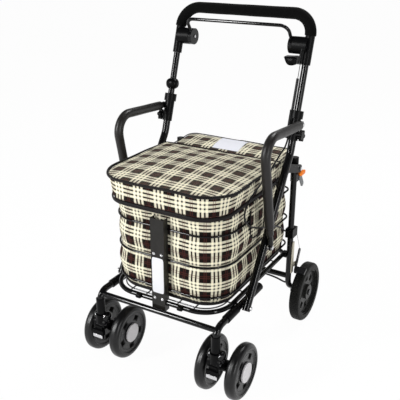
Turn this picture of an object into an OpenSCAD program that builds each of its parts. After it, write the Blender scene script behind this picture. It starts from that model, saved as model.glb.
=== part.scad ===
// Four-wheeled walker with a padded seat lid over a soft bag in a wire basket.
// Millimetres, +Z up, front toward -Y, origin on the floor at the middle of the footprint.

/* [Overall] */
// Length from the front treads to the rear treads
overall_l = 659; // [640:1:700]
// Height of the push grip's centre line
grip_z = 1007; // [985:1:1060]
// Distance of each side post from the middle plane
post_x = 218; // [212:1:240]
// Height of the seat lid's piped edge
seat_z = 603; // [595:1:612]

/* [Frame tubes] */
// Outer diameter of the side posts
post_d = 23; // [22:0.5:25]
// Wall of the side posts
post_wall = 1.4; // [1.2:0.1:1.8]
// Height of the bend in the side posts
post_bend_z = 627; // [620:1:640]
// Backward lean of the posts above the bend, in degrees
post_rake = 17.8; // [15:0.1:20]
// Outer diameter of the front legs
front_leg_d = 20; // [18:0.5:22]
// Height of the front legs' level run
front_leg_z = 240; // [232:1:250]
// Outer diameter of the rear legs
rear_leg_d = 19; // [17:0.5:20]
// Wall of the front and rear legs
leg_wall = 1.4; // [1.2:0.1:2]
// Outer diameter of the front crossbar
crossbar_d = 16; // [14:0.5:18]
// Outer diameter of the rear cross tube
cross_tube_d = 18; // [15:0.5:19]
// Outer diameter of the armrest tubes
arm_tube_d = 16; // [14:0.5:18]
// Outer diameter of the armrest foam
arm_foam_d = 27; // [24:0.5:29]
// Outer diameter of the push grip's foam
grip_foam_d = 34; // [30:0.5:38]
// Diameter of the brake bar
brake_bar_d = 10; // [8:0.5:11]

/* [Wheels] */
// Diameter of the front wheels
front_wheel_d = 165; // [150:1:175]
// Width of each front wheel
front_wheel_w = 33; // [28:1:36]
// Diameter of the rear wheels
rear_wheel_d = 200; // [180:1:210]
// Width of each rear wheel
rear_wheel_w = 34; // [28:1:36]
// Distance that the front axles trail behind the caster stems
caster_trail = 64; // [58:1:70]
// Diameter of the caster stems
stem_d = 12; // [10:0.5:14]
// Diameter of the front axles
front_axle_d = 10; // [8:0.5:12]
// Diameter of the rear axles
rear_axle_d = 12; // [10:0.5:14]

/* [Basket and bag] */
// Outer diameter of the base ring
ring_d = 14; // [12:0.5:16]
// Diameter of the basket hoops' wire
hoop_d = 6; // [4:0.5:7]
// Diameter of the floor grid's wire
grid_d = 4; // [3:0.5:5]
// Number of hoops above the base ring
hoop_count = 3; // [2:1:3]
// Height from one hoop to the next
hoop_pitch = 93; // [80:1:96]
// Thickness of the bag's wall
bag_wall = 3; // [2:0.5:5]
// Height of the lid from its board to the piped edge
lid_h = 73; // [65:1:80]
// Rise of the cushion's crown above the piped edge
lid_crown = 9; // [4:1:14]

/* [Hidden] */
$fn = 64;
overrun = 1;
fit_gap = 0.1;
run_gap = 0.05;
slide_gap = 0.1;
seat_gap = 0.2;
side_gap = 0.5;
rest_gap = 0.3;
strap_step = 0.6;

// Wheel axles and caster stems
front_r = front_wheel_d / 2;
rear_r = rear_wheel_d / 2;
front_axle_y = front_r - overall_l / 2;
rear_axle_y = overall_l / 2 - rear_r;
stem_y = front_axle_y - caster_trail;

// Side posts: a raked foot run, a bend and a steeper upper run that takes the handle
post_bend_r = 80;
post_turn_shares = [7, 24];
foot_end = 10;
post_turn = atan2(post_turn_shares[0], post_turn_shares[1]);
low_rake = post_rake + post_turn;
post_run = (post_bend_z - front_leg_z) * tan(low_rake);

// Posts and rear legs share the room from the stems to the rear axles that the raked runs leave
foot_share = 0.5034;
rear_leg_share = 0.2349;
stand_room = rear_axle_y - stem_y - post_run;
foot_y = stem_y + foot_share * stand_room;
post_bend_y = foot_y + post_run;
rear_leg_back = rear_leg_share * stand_room;
rear_leg_y = rear_axle_y - rear_leg_back;

// Runs of the posts and the clamp sleeves along them
low_l = (post_bend_z - front_leg_z) / cos(low_rake) + foot_end;
bend_run = post_bend_r * tan(post_turn / 2);
sleeve_s = 36;
sleeve_l = 68;
collar_h = 23;
collar_lap = 4;
collar_cover = 5;
collar_s = sleeve_s + sleeve_l - collar_lap;
post_top_s = collar_s + collar_h - collar_cover;
post_bore_d = post_d - 2 * post_wall;
post_steps = [[low_l - bend_run, post_turn, post_bend_r], [post_top_s - bend_run, 0, 0]];

// Front legs, crossbar and the plastic sleeves on them
front_leg_x = post_x - post_d / 2 - side_gap - front_leg_d / 2;
leg_bend_r = 30;
leg_drop = 40;
leg_reach = 124.6;
leg_run = foot_y + leg_reach - stem_y;
leg_low_z = front_leg_z - leg_drop;
leg_end_y = foot_y + leg_reach;
leg_steps = [[leg_drop - leg_bend_r, 90, leg_bend_r], [leg_run - leg_bend_r, 0, 0]];
crossbar_y = stem_y + leg_bend_r * (1 - cos(45));
crossbar_z = front_leg_z - leg_bend_r * (1 - sin(45));
sleeve_wall = 2.6;
leg_sleeve_d = front_leg_d + 2 * sleeve_wall;
leg_sleeve_l = 62;
leg_sleeve_y = foot_y - post_d / 2 - foot_end - leg_sleeve_l;
end_piece_l = 66;
end_piece_cover = 3;
socket_wall = 3;
socket_d = front_leg_d + 2 * socket_wall;
socket_low = 30;
socket_high = 19;
socket_z = leg_low_z - socket_low;

// Base ring, floor grid, hoops and bag
ring_clear = 1.4;
ring_offset = (front_leg_d / 2 + ring_d / 2 + ring_clear) / sqrt(2);
ring_x = front_leg_x - ring_offset;
ring_z = front_leg_z + ring_offset;
ring_front = 30;
ring_over = 24;
ring_front_r = 86;
ring_rear_r = 35;
ring_front_y = stem_y + ring_front;
ring_rear_y = rear_leg_y + ring_over;
grid_inset = 17;
grid_weld_share = 0.75;
grid_top_z = ring_z + ring_d / 2 - grid_d / 2;
grid_low_z = grid_top_z - grid_weld_share * grid_d;
grid_shares = [-0.64, -0.32, 0, 0.32, 0.64];
hoop_first = 40;
hoop_out = 5;
hoop_x = ring_x + hoop_out;
hoop_set_back = 4.2;
hoop_front_y = ring_front_y + ring_d / 2 - hoop_d / 2 + hoop_set_back;
hoop_rear_y = ring_rear_y;
hoop_front_r = 95;
hoop_rear_r = 30;
hoop_top_z = ring_z + hoop_first + hoop_pitch * (hoop_count - 1);
stay_share = 0.48;
stay_low_z = ring_z + ring_d / 2 + fit_gap;
bag_gap = 1;
bag_x = hoop_x - hoop_d / 2 - bag_gap;
bag_front_y = hoop_front_y + hoop_d / 2 + bag_gap;
bag_rear_y = hoop_rear_y - hoop_d / 2 - bag_gap;
bag_front_r = hoop_front_r - hoop_d / 2 - bag_gap;
bag_rear_r = 50;
bag_low_z = ring_z + ring_d / 2 + seat_gap;
bag_foot_h = 26;
bag_foot_in = 14;

// Seat lid and the rear flap of the bag
lid_gap = 1.5;
lid_x = post_x - post_d / 2 - lid_gap;
lid_low_z = seat_z - lid_h;
bag_top_z = lid_low_z - rest_gap;
lid_over = 18;
lid_front_y = ring_front_y - lid_over;
lid_front_r = 97;
lid_rear_r = 12;
lid_taper = 15;
lid_flare = 3;
lid_draw = 3;
lid_side_rings = 6;
crown_shares = [0.99, 0.96, 0.9, 0.78, 0.6, 0.36];
board_t = 10;
board_in = 6;
flap_gap = 2.5;
flap_l = 130;
flap_over = 15.5;
flap_in = 18;
flap_drop = 5;
flap_edge_r = 30;
flap_round = 9;
flap_front_y = bag_rear_y + flap_over - flap_l;
lid_rear_y = flap_front_y - flap_gap;
flap_shares = [[0, 0], [0.02, 0.4], [0, 0.86], [0.35, 0.96], [1, 1]];
corner_steps = 12;

// Front upright: a channel plate screwed to two clamp blocks
upright_w = 44;
upright_t = 2;
upright_depth = 21;
upright_top = 33;
upright_foot = 23;
upright_front_y = ring_front_y - ring_d / 2 - upright_t - 2 * bag_gap;
upright_low_z = ring_z - upright_foot;
upright_top_z = hoop_top_z + upright_top;
block_w = upright_w - 2 * upright_t - 2 * side_gap;
block_h = 36;
block_sink = 6;
upright_hoop_z = ring_z + hoop_first + hoop_pitch * (hoop_count - 2);
screw_d = 4;
screw_head_d = 9;
screw_head_h = 1.7;
screw_share = 0.28;
screw_rises = [14, 20];
screw_l = 9;

// Clamp sleeves with the knob boss, the armrest boss and the cable guide
clamp_wall = 3.5;
collar_wall = 7.5;
sleeve_d = post_d + 2 * clamp_wall;
collar_d = post_d + 2 * collar_wall;
knob_rise = 17.5;
arm_rise = 49;
knob_s = sleeve_s + knob_rise;
arm_s = sleeve_s + arm_rise;
boss_out = 6.5;
knob_boss_d = 18;
arm_boss_d = 20;
knob_screw_d = 8;
knob_d = 24;
knob_lobe_d = 10;
knob_lobes = 5;
knob_h = 12;
cable_housing_d = 8;
guide_wall = 2.6;
guide_d = cable_housing_d + 2 * slide_gap + 2 * guide_wall;
guide_in = 10;
guide_fore = post_d / 2 + cable_housing_d / 2;
guide_rise = 4;
guide_s = sleeve_s + guide_rise;
bolt_d = 6;
bolt_head_d = 12;
bolt_head_h = 4;

// Armrests: a level run that turns down to the post
arm_lug_t = 5;
arm_lug_d = 20;
arm_lug_gap = 0.3;
arm_wall = 1.5;
arm_x = post_x + post_d / 2 + boss_out + arm_lug_gap + arm_lug_t / 2;
arm_reach = 257;
arm_climb = 19;
arm_bend_r = 50;
arm_turn_shares = [7, 24];
arm_lug_run = 11;
arm_lug_l = 15;
arm_top = [up_y(arm_s), up_z(arm_s)];
arm_corner = [arm_top[0] - arm_reach, arm_top[1] + arm_climb];
arm_tilt = atan2(arm_corner[0] - arm_top[0], arm_corner[1] - arm_top[1]);
arm_turn = 90 + atan2(arm_turn_shares[0], arm_turn_shares[1]);
arm_fall = arm_tilt - arm_turn;
arm_fall_l = (low_y(arm_corner[1]) - arm_corner[0]) / (sin(arm_fall) - cos(arm_fall) * tan(low_rake));
arm_foot = arm_corner + arm_fall_l * [sin(arm_fall), cos(arm_fall)];
arm_turn_run = arm_bend_r * tan(arm_turn / 2);
arm_level_l = norm(arm_corner - arm_top) - arm_turn_run;
arm_drop_l = arm_fall_l - arm_turn_run;
arm_foam_start = 20;
arm_foam_end = 68;
arm_cuff_l = 24;
cuff_wall = 3;
arm_cuff_d = arm_tube_d + 2 * cuff_wall;
spacer_d = 14;

// Handle, foam, brake brackets and brake bar
handle_d = post_bore_d - 2 * slide_gap;
handle_wall = 1.5;
handle_r = 60;
handle_in_s = 26;
grip_s = (grip_z - post_bend_z) / cos(post_rake);
foam_lead = 2;
hub_drop = 90;
hub_s = grip_s - hub_drop;
bracket_below = 54;
bracket_s = hub_s - bracket_below;
foam_gap = 1;
bracket_wall = 4;
bracket_l = grip_s - handle_r - foam_lead - foam_gap - bracket_s;
bracket_d = handle_d + 2 * bracket_wall;
drum_d = 50;
drum_w = 32;
drum_clear = 1;
drum_out_x = post_x - handle_d / 2 - drum_clear;
drum_in_x = drum_out_x - drum_w;
hub_pin_d = 8;
hub_pin_l = 15;
hub_disc_t = 12;
hub_screw_d = 12;
bar_x = drum_in_x - side_gap - hub_disc_t / 2;
hub_screw_h = 1;
bar_lean = 35.3;
bar_reach = 71;
bar_bend_r = 25;
tab_rise = 11;
tab_s = bracket_s + tab_rise;
tab_l = 40;
tab_w = 16;
tab_t = 8;
paddle_l = 20;
paddle_w = 28;
paddle_t = 12;
tab_pin_d = 5;
tab_pin_in = 6;
tab_lug_w = 24;
tab_lug_h = 20;
tab_lug_l = 20;
tab_lug_lap = 10;
tab_slot_in = 2;
tab_in = 22;
tab_pin_x = post_x - tab_in;
clip_s = 141;
clip_h = 29;
clip_lobe_d = 28;
clip_lobe_x = 7;
wire_d = 2;
housing_low_s = 70;
bare_wire_l = 42;
housing_top_s = bracket_s - bare_wire_l;

// Rear frame: legs that hinge on the posts, cross tube, axles and brakes
fold_z = 556;
rear_leg_inset = 12.7;
rear_leg_x = post_x - rear_leg_inset;
rear_leg_top = 19;
rear_turn_shares = [4, 3];
rear_leg_turn = atan2(rear_turn_shares[0], rear_turn_shares[1]);
rear_leg_bend_r = 40;
rear_corner_z = rear_r + rear_leg_back / tan(rear_leg_turn);
rear_bend_run = rear_leg_bend_r * tan(rear_leg_turn / 2);
rear_steps = [[fold_z + rear_leg_top - rear_corner_z - rear_bend_run, rear_leg_turn, rear_leg_bend_r],
    [rear_leg_back / sin(rear_leg_turn) - rear_bend_run, 0, 0]];
rear_boss_wall = 9;
axle_boss_d = rear_axle_d + 2 * rear_boss_wall;
rear_wheel_out = 23;
rear_wheel_x = post_x + rear_wheel_out;
axle_head_d = 20;
axle_head_h = 4;
cross_tube_rise = 30;
cross_tube_z = rear_corner_z + cross_tube_rise;
fold_pin_d = 8;
fold_plate_t = 5;
fold_plate_in = 1;
fold_plate_x = post_x + fold_plate_in;
fold_plate_w = 26;
fold_plate_rise = 27;
fold_plate_lap = 14;
shoulder_d = 13;
cap_wall = 2.5;
cap_gap = 9;
cap_top = 15;
stop_low_z = 322;
stop_h = 30;
stop_fore = 14;
stop_back = 24;
stop_in = 13;
housing_in = 12;
housing_low = 46;
housing_top = 6;
housing_fore = 0;
housing_back = 38;
release_out = 12;
release_in = 7;
release_press = 6;
release_t = 10;
release_l = 24;
release_below = 20;
release_back = 1.5;
release_z = fold_z - release_below;
release_y = rear_leg_y + rear_leg_d / 2 + release_back;
release_x = rear_leg_x + rear_leg_d / 2 - release_in;
lever_pin_d = 5;
lever_pin_l = 7;
lever_t = 3;
lever_w = 18;
lever_pin_back = 24;
lever_below = 36;
lever_y = rear_leg_y + lever_pin_back;
lever_z = fold_z - lever_below;
lever_back = 18;
lever_fall = 27;
mount_t = 3;
mount_w = 14;
mount_low_z = 195;
mount_top_z = 305;
ear_w = 16;
brake_pin_d = 6;
brake_pin_fore = 37.5;
brake_pin_rise = 116;
brake_pin_y = rear_axle_y - brake_pin_fore;
brake_pin_z = rear_r + brake_pin_rise;
brake_plate_t = 4;
brake_gap = 3;
shoe_t = 8;
shoe_l = 24;
shoe_w = 30;
shoe_angle = 115;
brake_arm_w = 14;
brake_end_off = [20, 40];
brake_end = [brake_pin_y, brake_pin_z] + brake_end_off;
mount_x = rear_leg_x + rear_leg_d / 2 + seat_gap;
brake_x = mount_x + mount_t + 2 * seat_gap;
saddle_l = 20;
saddle_h = 16;
saddle_wall = 4;

// Casters and wheels
head_w = 40;
head_boss_d = 34;
head_rise = 45;
head_gap = 3;
neck_rise = 55;
head_low_z = front_r + head_rise;
head_top_z = socket_z - head_gap;
head_neck_z = front_r + neck_rise;
neck_w = 30;
axle_boss = 34;
spacer_out = 0.4;
wheel_off = 47.5;
spacer_wall = 5;
spacer_rod_d = front_axle_d + 2 * spacer_wall;
pedal_w = 24;
pedal_pin_d = 5;
pedal_fore = 8;
pedal_rise = 48;
pedal_room_share = 1.5;
pedal_z = front_r + pedal_rise;
pedal_l = 34;
pedal_t = 15;
foot_w = 38;
foot_t = 6;
foot_lap = 0.8;
foot_h = 26;
foot_below = 3;
pedal_top_d = 12;
pedal_gap = 0.6;
pedal_rib_t = 0.8;
pedal_rib_h = 2.5;
pedal_rib_shares = [0.5, 0.68, 0.86];
ear_d = 15;
head_screw_off = 8;
front_hub_d = 62;
front_web_t = 24;
front_lip = 4;
front_tyre_t = 17;
front_tread_r = 13;
front_slot_l = 12;
front_slot_w = 16;
front_slots = 5;
rear_hub_d = 50;
rear_web_t = 10;
rear_lip = 4;
rear_tyre_t = 22;
rear_slot_l = 20;
rear_slot_w = 20;
rear_slots = 8;
rear_tread_r = 9;
hub_in = 2;
hub_cap_d = 58;
hub_cap_h = 4;

// Brake cable from the guide round the side of the seat to the stop on the right rear leg
cable_d = 5;
cable_sides = 8;
cable_steps = 4;
cable_route = [[208, 91, 675], [208, 87, 662], [208.5, 70, 647], [209, 40, 636], [210, 5, 622],
    [210, -32, 606], [210, -70, 593], [210, -107, 581], [210, -145, 568], [209.5, -170, 552],
    [208, -181, 530], [204, -165, 500], [200, -124, 469], [199, -73, 445], [199, -32, 430],
    [199, 19, 412], [198, 55, 399], [197, 93, 381], [197, 130, 355], [197, 148, 345]];
link_d = 6;
link_shares = [0.95, 0.9, 0.78, 0.54, 0];
link_backs = [8, 4, 0, 0, 0];
link_falls = [31, 27, 18, 14, 14];
link_half = [for (i = [0:len(link_shares) - 1])
    [link_shares[i] * rear_leg_x, rear_leg_y + link_backs[i], cross_tube_z - link_falls[i]]];
link_route = concat([for (p = link_half) [-p[0], p[1], p[2]]],
    [for (i = [len(link_half) - 2:-1:0]) link_half[i]]);

// Places along the upper and the lower run of a side post
function up_y(s) = post_bend_y + s * sin(post_rake);
function up_z(s) = post_bend_z + s * cos(post_rake);
function low_y(z) = post_bend_y - (post_bend_z - z) * tan(low_rake);

// A run's steps made longer at both ends, for cutting a bore
function stretched(steps) = [for (i = [0:len(steps) - 1])
    [steps[i][0] + (i == 0 ? overrun : 0) + (i == len(steps) - 1 ? overrun : 0), steps[i][1], steps[i][2]]];

// Straight runs and round bends toward +Y in the local YZ plane, starting along +Z
module tube_run(steps, d, i = 0) {
    if (i < len(steps)) {
        run = steps[i][0];
        turn = steps[i][1];
        bend_r = steps[i][2];
        cylinder(h = run, d = d);
        translate([0, 0, run]) {
            if (turn > 0)
                translate([0, bend_r, 0])
                    rotate([90, 0, -90])
                        rotate_extrude(angle = turn)
                            translate([bend_r, 0])
                                circle(d = d);
            translate([0, bend_r * (1 - cos(turn)), bend_r * sin(turn)])
                rotate([-turn, 0, 0])
                    tube_run(steps, d, i + 1);
        }
    }
}

module pipe_run(steps, d, bore) {
    difference() {
        tube_run(steps, d);
        translate([0, 0, -overrun])
            tube_run(stretched(steps), bore);
    }
}

// A closed loop of round bar, level, with its own front and rear corner radii
module loop_bar(half_w, front_y, rear_y, front_corner, rear_corner, d) {
    side_l = rear_y - front_y - front_corner - rear_corner;
    translate([front_corner - half_w, front_y, 0])
        rotate([0, 90, 0])
            tube_run([[2 * (half_w - front_corner), 90, front_corner], [side_l, 90, rear_corner],
                [2 * (half_w - rear_corner), 90, rear_corner], [side_l, 90, front_corner]], d);
}

// A level outline with round corners, as a flat shape
module plan(half_w, front_y, rear_y, front_corner, rear_corner) {
    translate([-half_w, front_y + front_corner])
        square([2 * half_w, rear_y - front_y - front_corner - rear_corner]);
    translate([front_corner - half_w, front_y])
        square([2 * (half_w - front_corner), front_corner]);
    translate([rear_corner - half_w, rear_y - rear_corner])
        square([2 * (half_w - rear_corner), rear_corner]);
    for (side = [-1, 1]) {
        translate([side * (half_w - front_corner), front_y + front_corner])
            circle(r = front_corner);
        translate([side * (half_w - rear_corner), rear_y - rear_corner])
            circle(r = rear_corner);
    }
}

// The same outline as points, counter-clockwise, for the soft forms
function arc_points(x, y, r, start) =
    [for (i = [0:corner_steps]) [x + r * cos(start + 90 * i / corner_steps),
        y + r * sin(start + 90 * i / corner_steps)]];
function outline(half_w, front_y, rear_y, front_corner, rear_corner) = concat(
    arc_points(half_w - rear_corner, rear_y - rear_corner, rear_corner, 0),
    arc_points(rear_corner - half_w, rear_y - rear_corner, rear_corner, 90),
    arc_points(front_corner - half_w, front_y + front_corner, front_corner, 180),
    arc_points(half_w - front_corner, front_y + front_corner, front_corner, 270));
function raised(points, z) = [for (p = points) [p[0], p[1], z]];

// A closed solid through rings of points, stacked upward
module loft(rings) {
    m = len(rings[0]);
    n = len(rings);
    low = n * m;
    high = low + 1;
    low_mid = [0, (max([for (p = rings[0]) p[1]]) + min([for (p = rings[0]) p[1]])) / 2, rings[0][0][2]];
    top = rings[n - 1];
    high_mid = [0, (max([for (p = top) p[1]]) + min([for (p = top) p[1]])) / 2, top[0][2]];
    sides = [for (i = [0:n - 2], j = [0:m - 1]) each [
        [i * m + j, (i + 1) * m + j, (i + 1) * m + (j + 1) % m],
        [i * m + j, (i + 1) * m + (j + 1) % m, i * m + (j + 1) % m]]];
    lows = [for (j = [0:m - 1]) [low, j, (j + 1) % m]];
    highs = [for (j = [0:m - 1]) [high, (n - 1) * m + (j + 1) % m, (n - 1) * m + j]];
    polyhedron(points = concat([for (ring = rings) each ring], [low_mid, high_mid]),
        faces = concat(sides, lows, highs));
}

// A smooth curve through hand-chosen points
function bow(a, b, c, d, t) = 0.5 * (2 * b + (c - a) * t + (2 * a - 5 * b + 4 * c - d) * t * t
    + (3 * b - a - 3 * c + d) * t * t * t);
function curve(p, steps) = concat([for (i = [0:len(p) - 2], k = [0:steps - 1])
    bow(p[max(i - 1, 0)], p[i], p[i + 1], p[min(i + 2, len(p) - 1)], k / steps)], [p[len(p) - 1]]);
function unit(v) = v / norm(v);

// A round cord swept along a curve, with sides set square to a steady direction
module cord(route, steps, d, steady) {
    path = curve(route, steps);
    n = len(path);
    m = cable_sides;
    along = [for (i = [0:n - 1]) unit(path[min(i + 1, n - 1)] - path[max(i - 1, 0)])];
    across = [for (t = along) unit(cross(t, steady))];
    points = [for (i = [0:n - 1], j = [0:m - 1]) path[i]
        + d / 2 * (cos(360 * j / m) * across[i] + sin(360 * j / m) * cross(along[i], across[i]))];
    sides = [for (i = [0:n - 2], j = [0:m - 1]) each [
        [i * m + j, (i + 1) * m + j, (i + 1) * m + (j + 1) % m],
        [i * m + j, (i + 1) * m + (j + 1) % m, i * m + (j + 1) % m]]];
    ends = [for (j = [1:m - 2]) each [[0, j, j + 1], [(n - 1) * m, (n - 1) * m + j + 1, (n - 1) * m + j]]];
    polyhedron(points = points, faces = concat(sides, ends));
}

module both() {
    children();
    mirror([1, 0, 0])
        children();
}

module on_upper(x, s) {
    translate([x, up_y(s), up_z(s)])
        rotate([-post_rake, 0, 0])
            children();
}

module on_post(x) {
    translate([x, foot_y, front_leg_z])
        rotate([-low_rake, 0, 0])
            translate([0, 0, -foot_end])
                rotate([0, 0, 180])
                    children();
}

module x_rod(x0, x1, d) {
    translate([x0, 0, 0])
        rotate([0, 90, 0])
            cylinder(h = x1 - x0, d = d);
}

// A flat bar between two points, with round ends, drawn as depth and height
module strap(p, q, w) {
    edge = unit([p[1] - q[1], q[0] - p[0]]) * (w - strap_step) / 2;
    for (end = [p, q])
        translate(end)
            circle(d = w);
    polygon([p + edge, p - edge, q - edge, q + edge]);
}

// A shape drawn as depth and height, set upright and given its thickness along X
module plate_x(x, t) {
    translate([x, 0, 0])
        rotate([90, 0, 90])
            linear_extrude(t)
                children();
}

// Side posts
module post_solid(d) {
    on_post(post_x)
        tube_run(post_steps, d);
}

module side_posts() {
    color("#1b1b1d")
        both()
            difference() {
                on_post(post_x)
                    pipe_run(post_steps, post_d, post_bore_d);
                translate([0, foot_y, front_leg_z])
                    x_rod(post_x - post_d, post_x + post_d, bolt_d + 2 * fit_gap);
                translate([0, arm_foot[0], arm_foot[1]])
                    x_rod(post_x, post_x + post_d, bolt_d + 2 * fit_gap);
            }
}

// Front legs and the parts on them
module leg_solid(d) {
    translate([front_leg_x, stem_y, leg_low_z])
        tube_run(leg_steps, d);
}

module front_legs() {
    color("#1b1b1d")
        both()
            difference() {
                translate([front_leg_x, stem_y, leg_low_z])
                    pipe_run(leg_steps, front_leg_d, front_leg_d - 2 * leg_wall);
                translate([0, foot_y, front_leg_z])
                    x_rod(front_leg_x - front_leg_d, post_x, bolt_d + 2 * fit_gap);
            }
}

module front_crossbar() {
    color("#1b1b1d")
        difference() {
            translate([0, crossbar_y, crossbar_z])
                x_rod(-front_leg_x, front_leg_x, crossbar_d);
            both()
                leg_solid(front_leg_d + 2 * fit_gap);
        }
}

module ring_bar(d) {
    translate([0, 0, ring_z])
        loop_bar(ring_x, ring_front_y, ring_rear_y, ring_front_r, ring_rear_r, d);
}

module leg_sleeve(y, l) {
    translate([front_leg_x, y, front_leg_z])
        rotate([-90, 0, 0])
            cylinder(h = l, d = leg_sleeve_d);
}

module leg_sleeves() {
    color("#26262a")
        both()
            difference() {
                union() {
                    translate([front_leg_x, stem_y, socket_z])
                        cylinder(h = socket_low + socket_high, d = socket_d);
                    leg_sleeve(leg_sleeve_y, leg_sleeve_l);
                    leg_sleeve(leg_end_y - end_piece_l + end_piece_cover, end_piece_l);
                }
                leg_solid(front_leg_d + 2 * fit_gap);
                translate([front_leg_x, stem_y, socket_z - overrun])
                    cylinder(h = socket_low + 2 * overrun, d = stem_d + 2 * run_gap);
                ring_bar(ring_d + 2 * seat_gap);
            }
}

// Height clamps on the posts, with bosses for the knob and the armrest
module clamp_sleeve(guided) {
    difference() {
        union() {
            on_upper(post_x, sleeve_s)
                cylinder(h = sleeve_l, d = sleeve_d);
            on_upper(post_x, collar_s)
                cylinder(h = collar_h, d = collar_d);
            on_upper(post_x, knob_s)
                x_rod(0, post_d / 2 + boss_out, knob_boss_d);
            on_upper(post_x, arm_s)
                x_rod(0, post_d / 2 + boss_out, arm_boss_d);
            if (guided)
                on_upper(post_x - guide_in, guide_s)
                    translate([0, -guide_fore, 0])
                        cylinder(h = collar_s + collar_h - guide_s, d = guide_d);
        }
        on_upper(post_x, sleeve_s - overrun)
            cylinder(h = post_top_s - sleeve_s + overrun + fit_gap, d = post_d + 2 * fit_gap);
        on_upper(post_x, post_top_s)
            cylinder(h = collar_cover + overrun, d = handle_d + 2 * slide_gap);
        on_upper(post_x, knob_s)
            x_rod(0, post_d / 2 + boss_out + overrun, knob_screw_d + 2 * run_gap);
        on_upper(post_x, arm_s)
            x_rod(0, post_d / 2 + boss_out + overrun, bolt_d + 2 * fit_gap);
        if (guided)
            on_upper(post_x - guide_in, guide_s - overrun)
                translate([0, -guide_fore, 0])
                    cylinder(h = collar_s + collar_h - guide_s + 2 * overrun,
                        d = cable_housing_d + 2 * slide_gap);
    }
}

module clamp_sleeves() {
    color("#2a2a2e") {
        clamp_sleeve(true);
        mirror([1, 0, 0])
            clamp_sleeve(false);
    }
}

module height_knob(side) {
    color("#19191b")
        on_upper(side * post_x, knob_s)
            rotate([0, 0, side > 0 ? 0 : 180]) {
                x_rod(post_d / 2 + side_gap, post_d / 2 + boss_out + side_gap + knob_h / 2, knob_screw_d);
                plate_x(post_d / 2 + boss_out + side_gap, knob_h) {
                    circle(d = knob_d);
                    for (i = [0:knob_lobes - 1])
                        translate(knob_d / 2 * [cos(360 / knob_lobes * i), sin(360 / knob_lobes * i)])
                            circle(d = knob_lobe_d);
                }
            }
}

// Armrests
module on_arm() {
    translate([arm_x, arm_top[0], arm_top[1]])
        rotate([-arm_tilt, 0, 0])
            rotate([0, 0, 180])
                children();
}

module arm_lug(p, lean) {
    plate_x(arm_x - arm_lug_t / 2, arm_lug_t)
        strap(p, p + arm_lug_l * [sin(lean), cos(lean)], arm_lug_d);
}

module armrest_tubes() {
    color("#1b1b1d")
        both()
            difference() {
                union() {
                    on_arm()
                        translate([0, 0, arm_lug_run])
                            pipe_run([[arm_level_l - arm_lug_run, arm_turn, arm_bend_r],
                                [arm_drop_l - arm_lug_run, 0, 0]], arm_tube_d, arm_tube_d - 2 * arm_wall);
                    arm_lug(arm_top, arm_tilt);
                    arm_lug(arm_foot, arm_fall + 180);
                }
                for (p = [arm_top, arm_foot])
                    translate([0, p[0], p[1]])
                        x_rod(arm_x - arm_tube_d, arm_x + arm_tube_d, bolt_d + 2 * fit_gap);
            }
}

module armrest_foam() {
    bore = arm_tube_d + 2 * seat_gap;
    color("#222226")
        both()
            on_arm() {
                translate([0, 0, arm_foam_start])
                    pipe_run([[arm_level_l - arm_foam_start, arm_turn, arm_bend_r],
                        [arm_drop_l - arm_foam_end, 0, 0]], arm_foam_d, bore);
                translate([0, arm_bend_r * (1 - cos(arm_turn)), arm_level_l + arm_bend_r * sin(arm_turn)])
                    rotate([-arm_turn, 0, 0])
                        translate([0, 0, arm_drop_l - arm_foam_end + fit_gap])
                            pipe_run([[arm_cuff_l, 0, 0]], arm_cuff_d, bore);
            }
}

// Base ring, floor grid and hoops
module base_ring() {
    color("#1b1b1d")
        ring_bar(ring_d);
}

module floor_grid() {
    grid_x = ring_x - ring_d / 2 - fit_gap;
    front = ring_front_y + ring_d / 2 + fit_gap;
    rear = ring_rear_y - ring_d / 2 - fit_gap;
    mid = (front + rear) / 2;
    color("#b9bcc0") {
        translate([0, 0, grid_low_z])
            loop_bar(ring_x - grid_inset, ring_front_y + grid_inset, ring_rear_y - grid_inset,
                ring_front_r - grid_inset, ring_rear_r - grid_inset, grid_d);
        for (share = grid_shares) {
            translate([share * (ring_x - grid_inset), front, grid_top_z])
                rotate([-90, 0, 0])
                    cylinder(h = rear - front, d = grid_d);
            translate([0, mid + share * (rear - front) / 2, grid_low_z])
                x_rod(-grid_x, grid_x, grid_d);
        }
    }
}

module hoop_bar(z, d) {
    translate([0, 0, z])
        loop_bar(hoop_x, hoop_front_y, hoop_rear_y, hoop_front_r, hoop_rear_r, d);
}

module wire_basket() {
    color("#1b1b1d") {
        for (i = [0:hoop_count - 1])
            hoop_bar(ring_z + hoop_first + hoop_pitch * i, hoop_d);
        for (side = [-1, 1])
            translate([side * stay_share * hoop_x, hoop_rear_y + hoop_d + fit_gap, stay_low_z])
                cylinder(h = hoop_top_z + hoop_d - stay_low_z, d = hoop_d);
    }
}

// Front upright with its clamp blocks
module back_slot(z, y, d) {
    translate([0, y, z]) {
        x_rod(-upright_w, upright_w, d);
        translate([-upright_w, 0, -d / 2])
            cube([2 * upright_w, upright_depth, d]);
    }
}

module bar_slots() {
    back_slot(ring_z, ring_front_y, ring_d + 2 * seat_gap);
    for (i = [0:hoop_count - 1])
        back_slot(ring_z + hoop_first + hoop_pitch * i, hoop_front_y, hoop_d + 2 * seat_gap);
}

module screw_places() {
    for (side = [-1, 1], z = [ring_z + screw_rises[0], upright_hoop_z + screw_rises[1]])
        translate([side * screw_share * upright_w, upright_front_y, z])
            rotate([-90, 0, 0])
                children();
}

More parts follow.
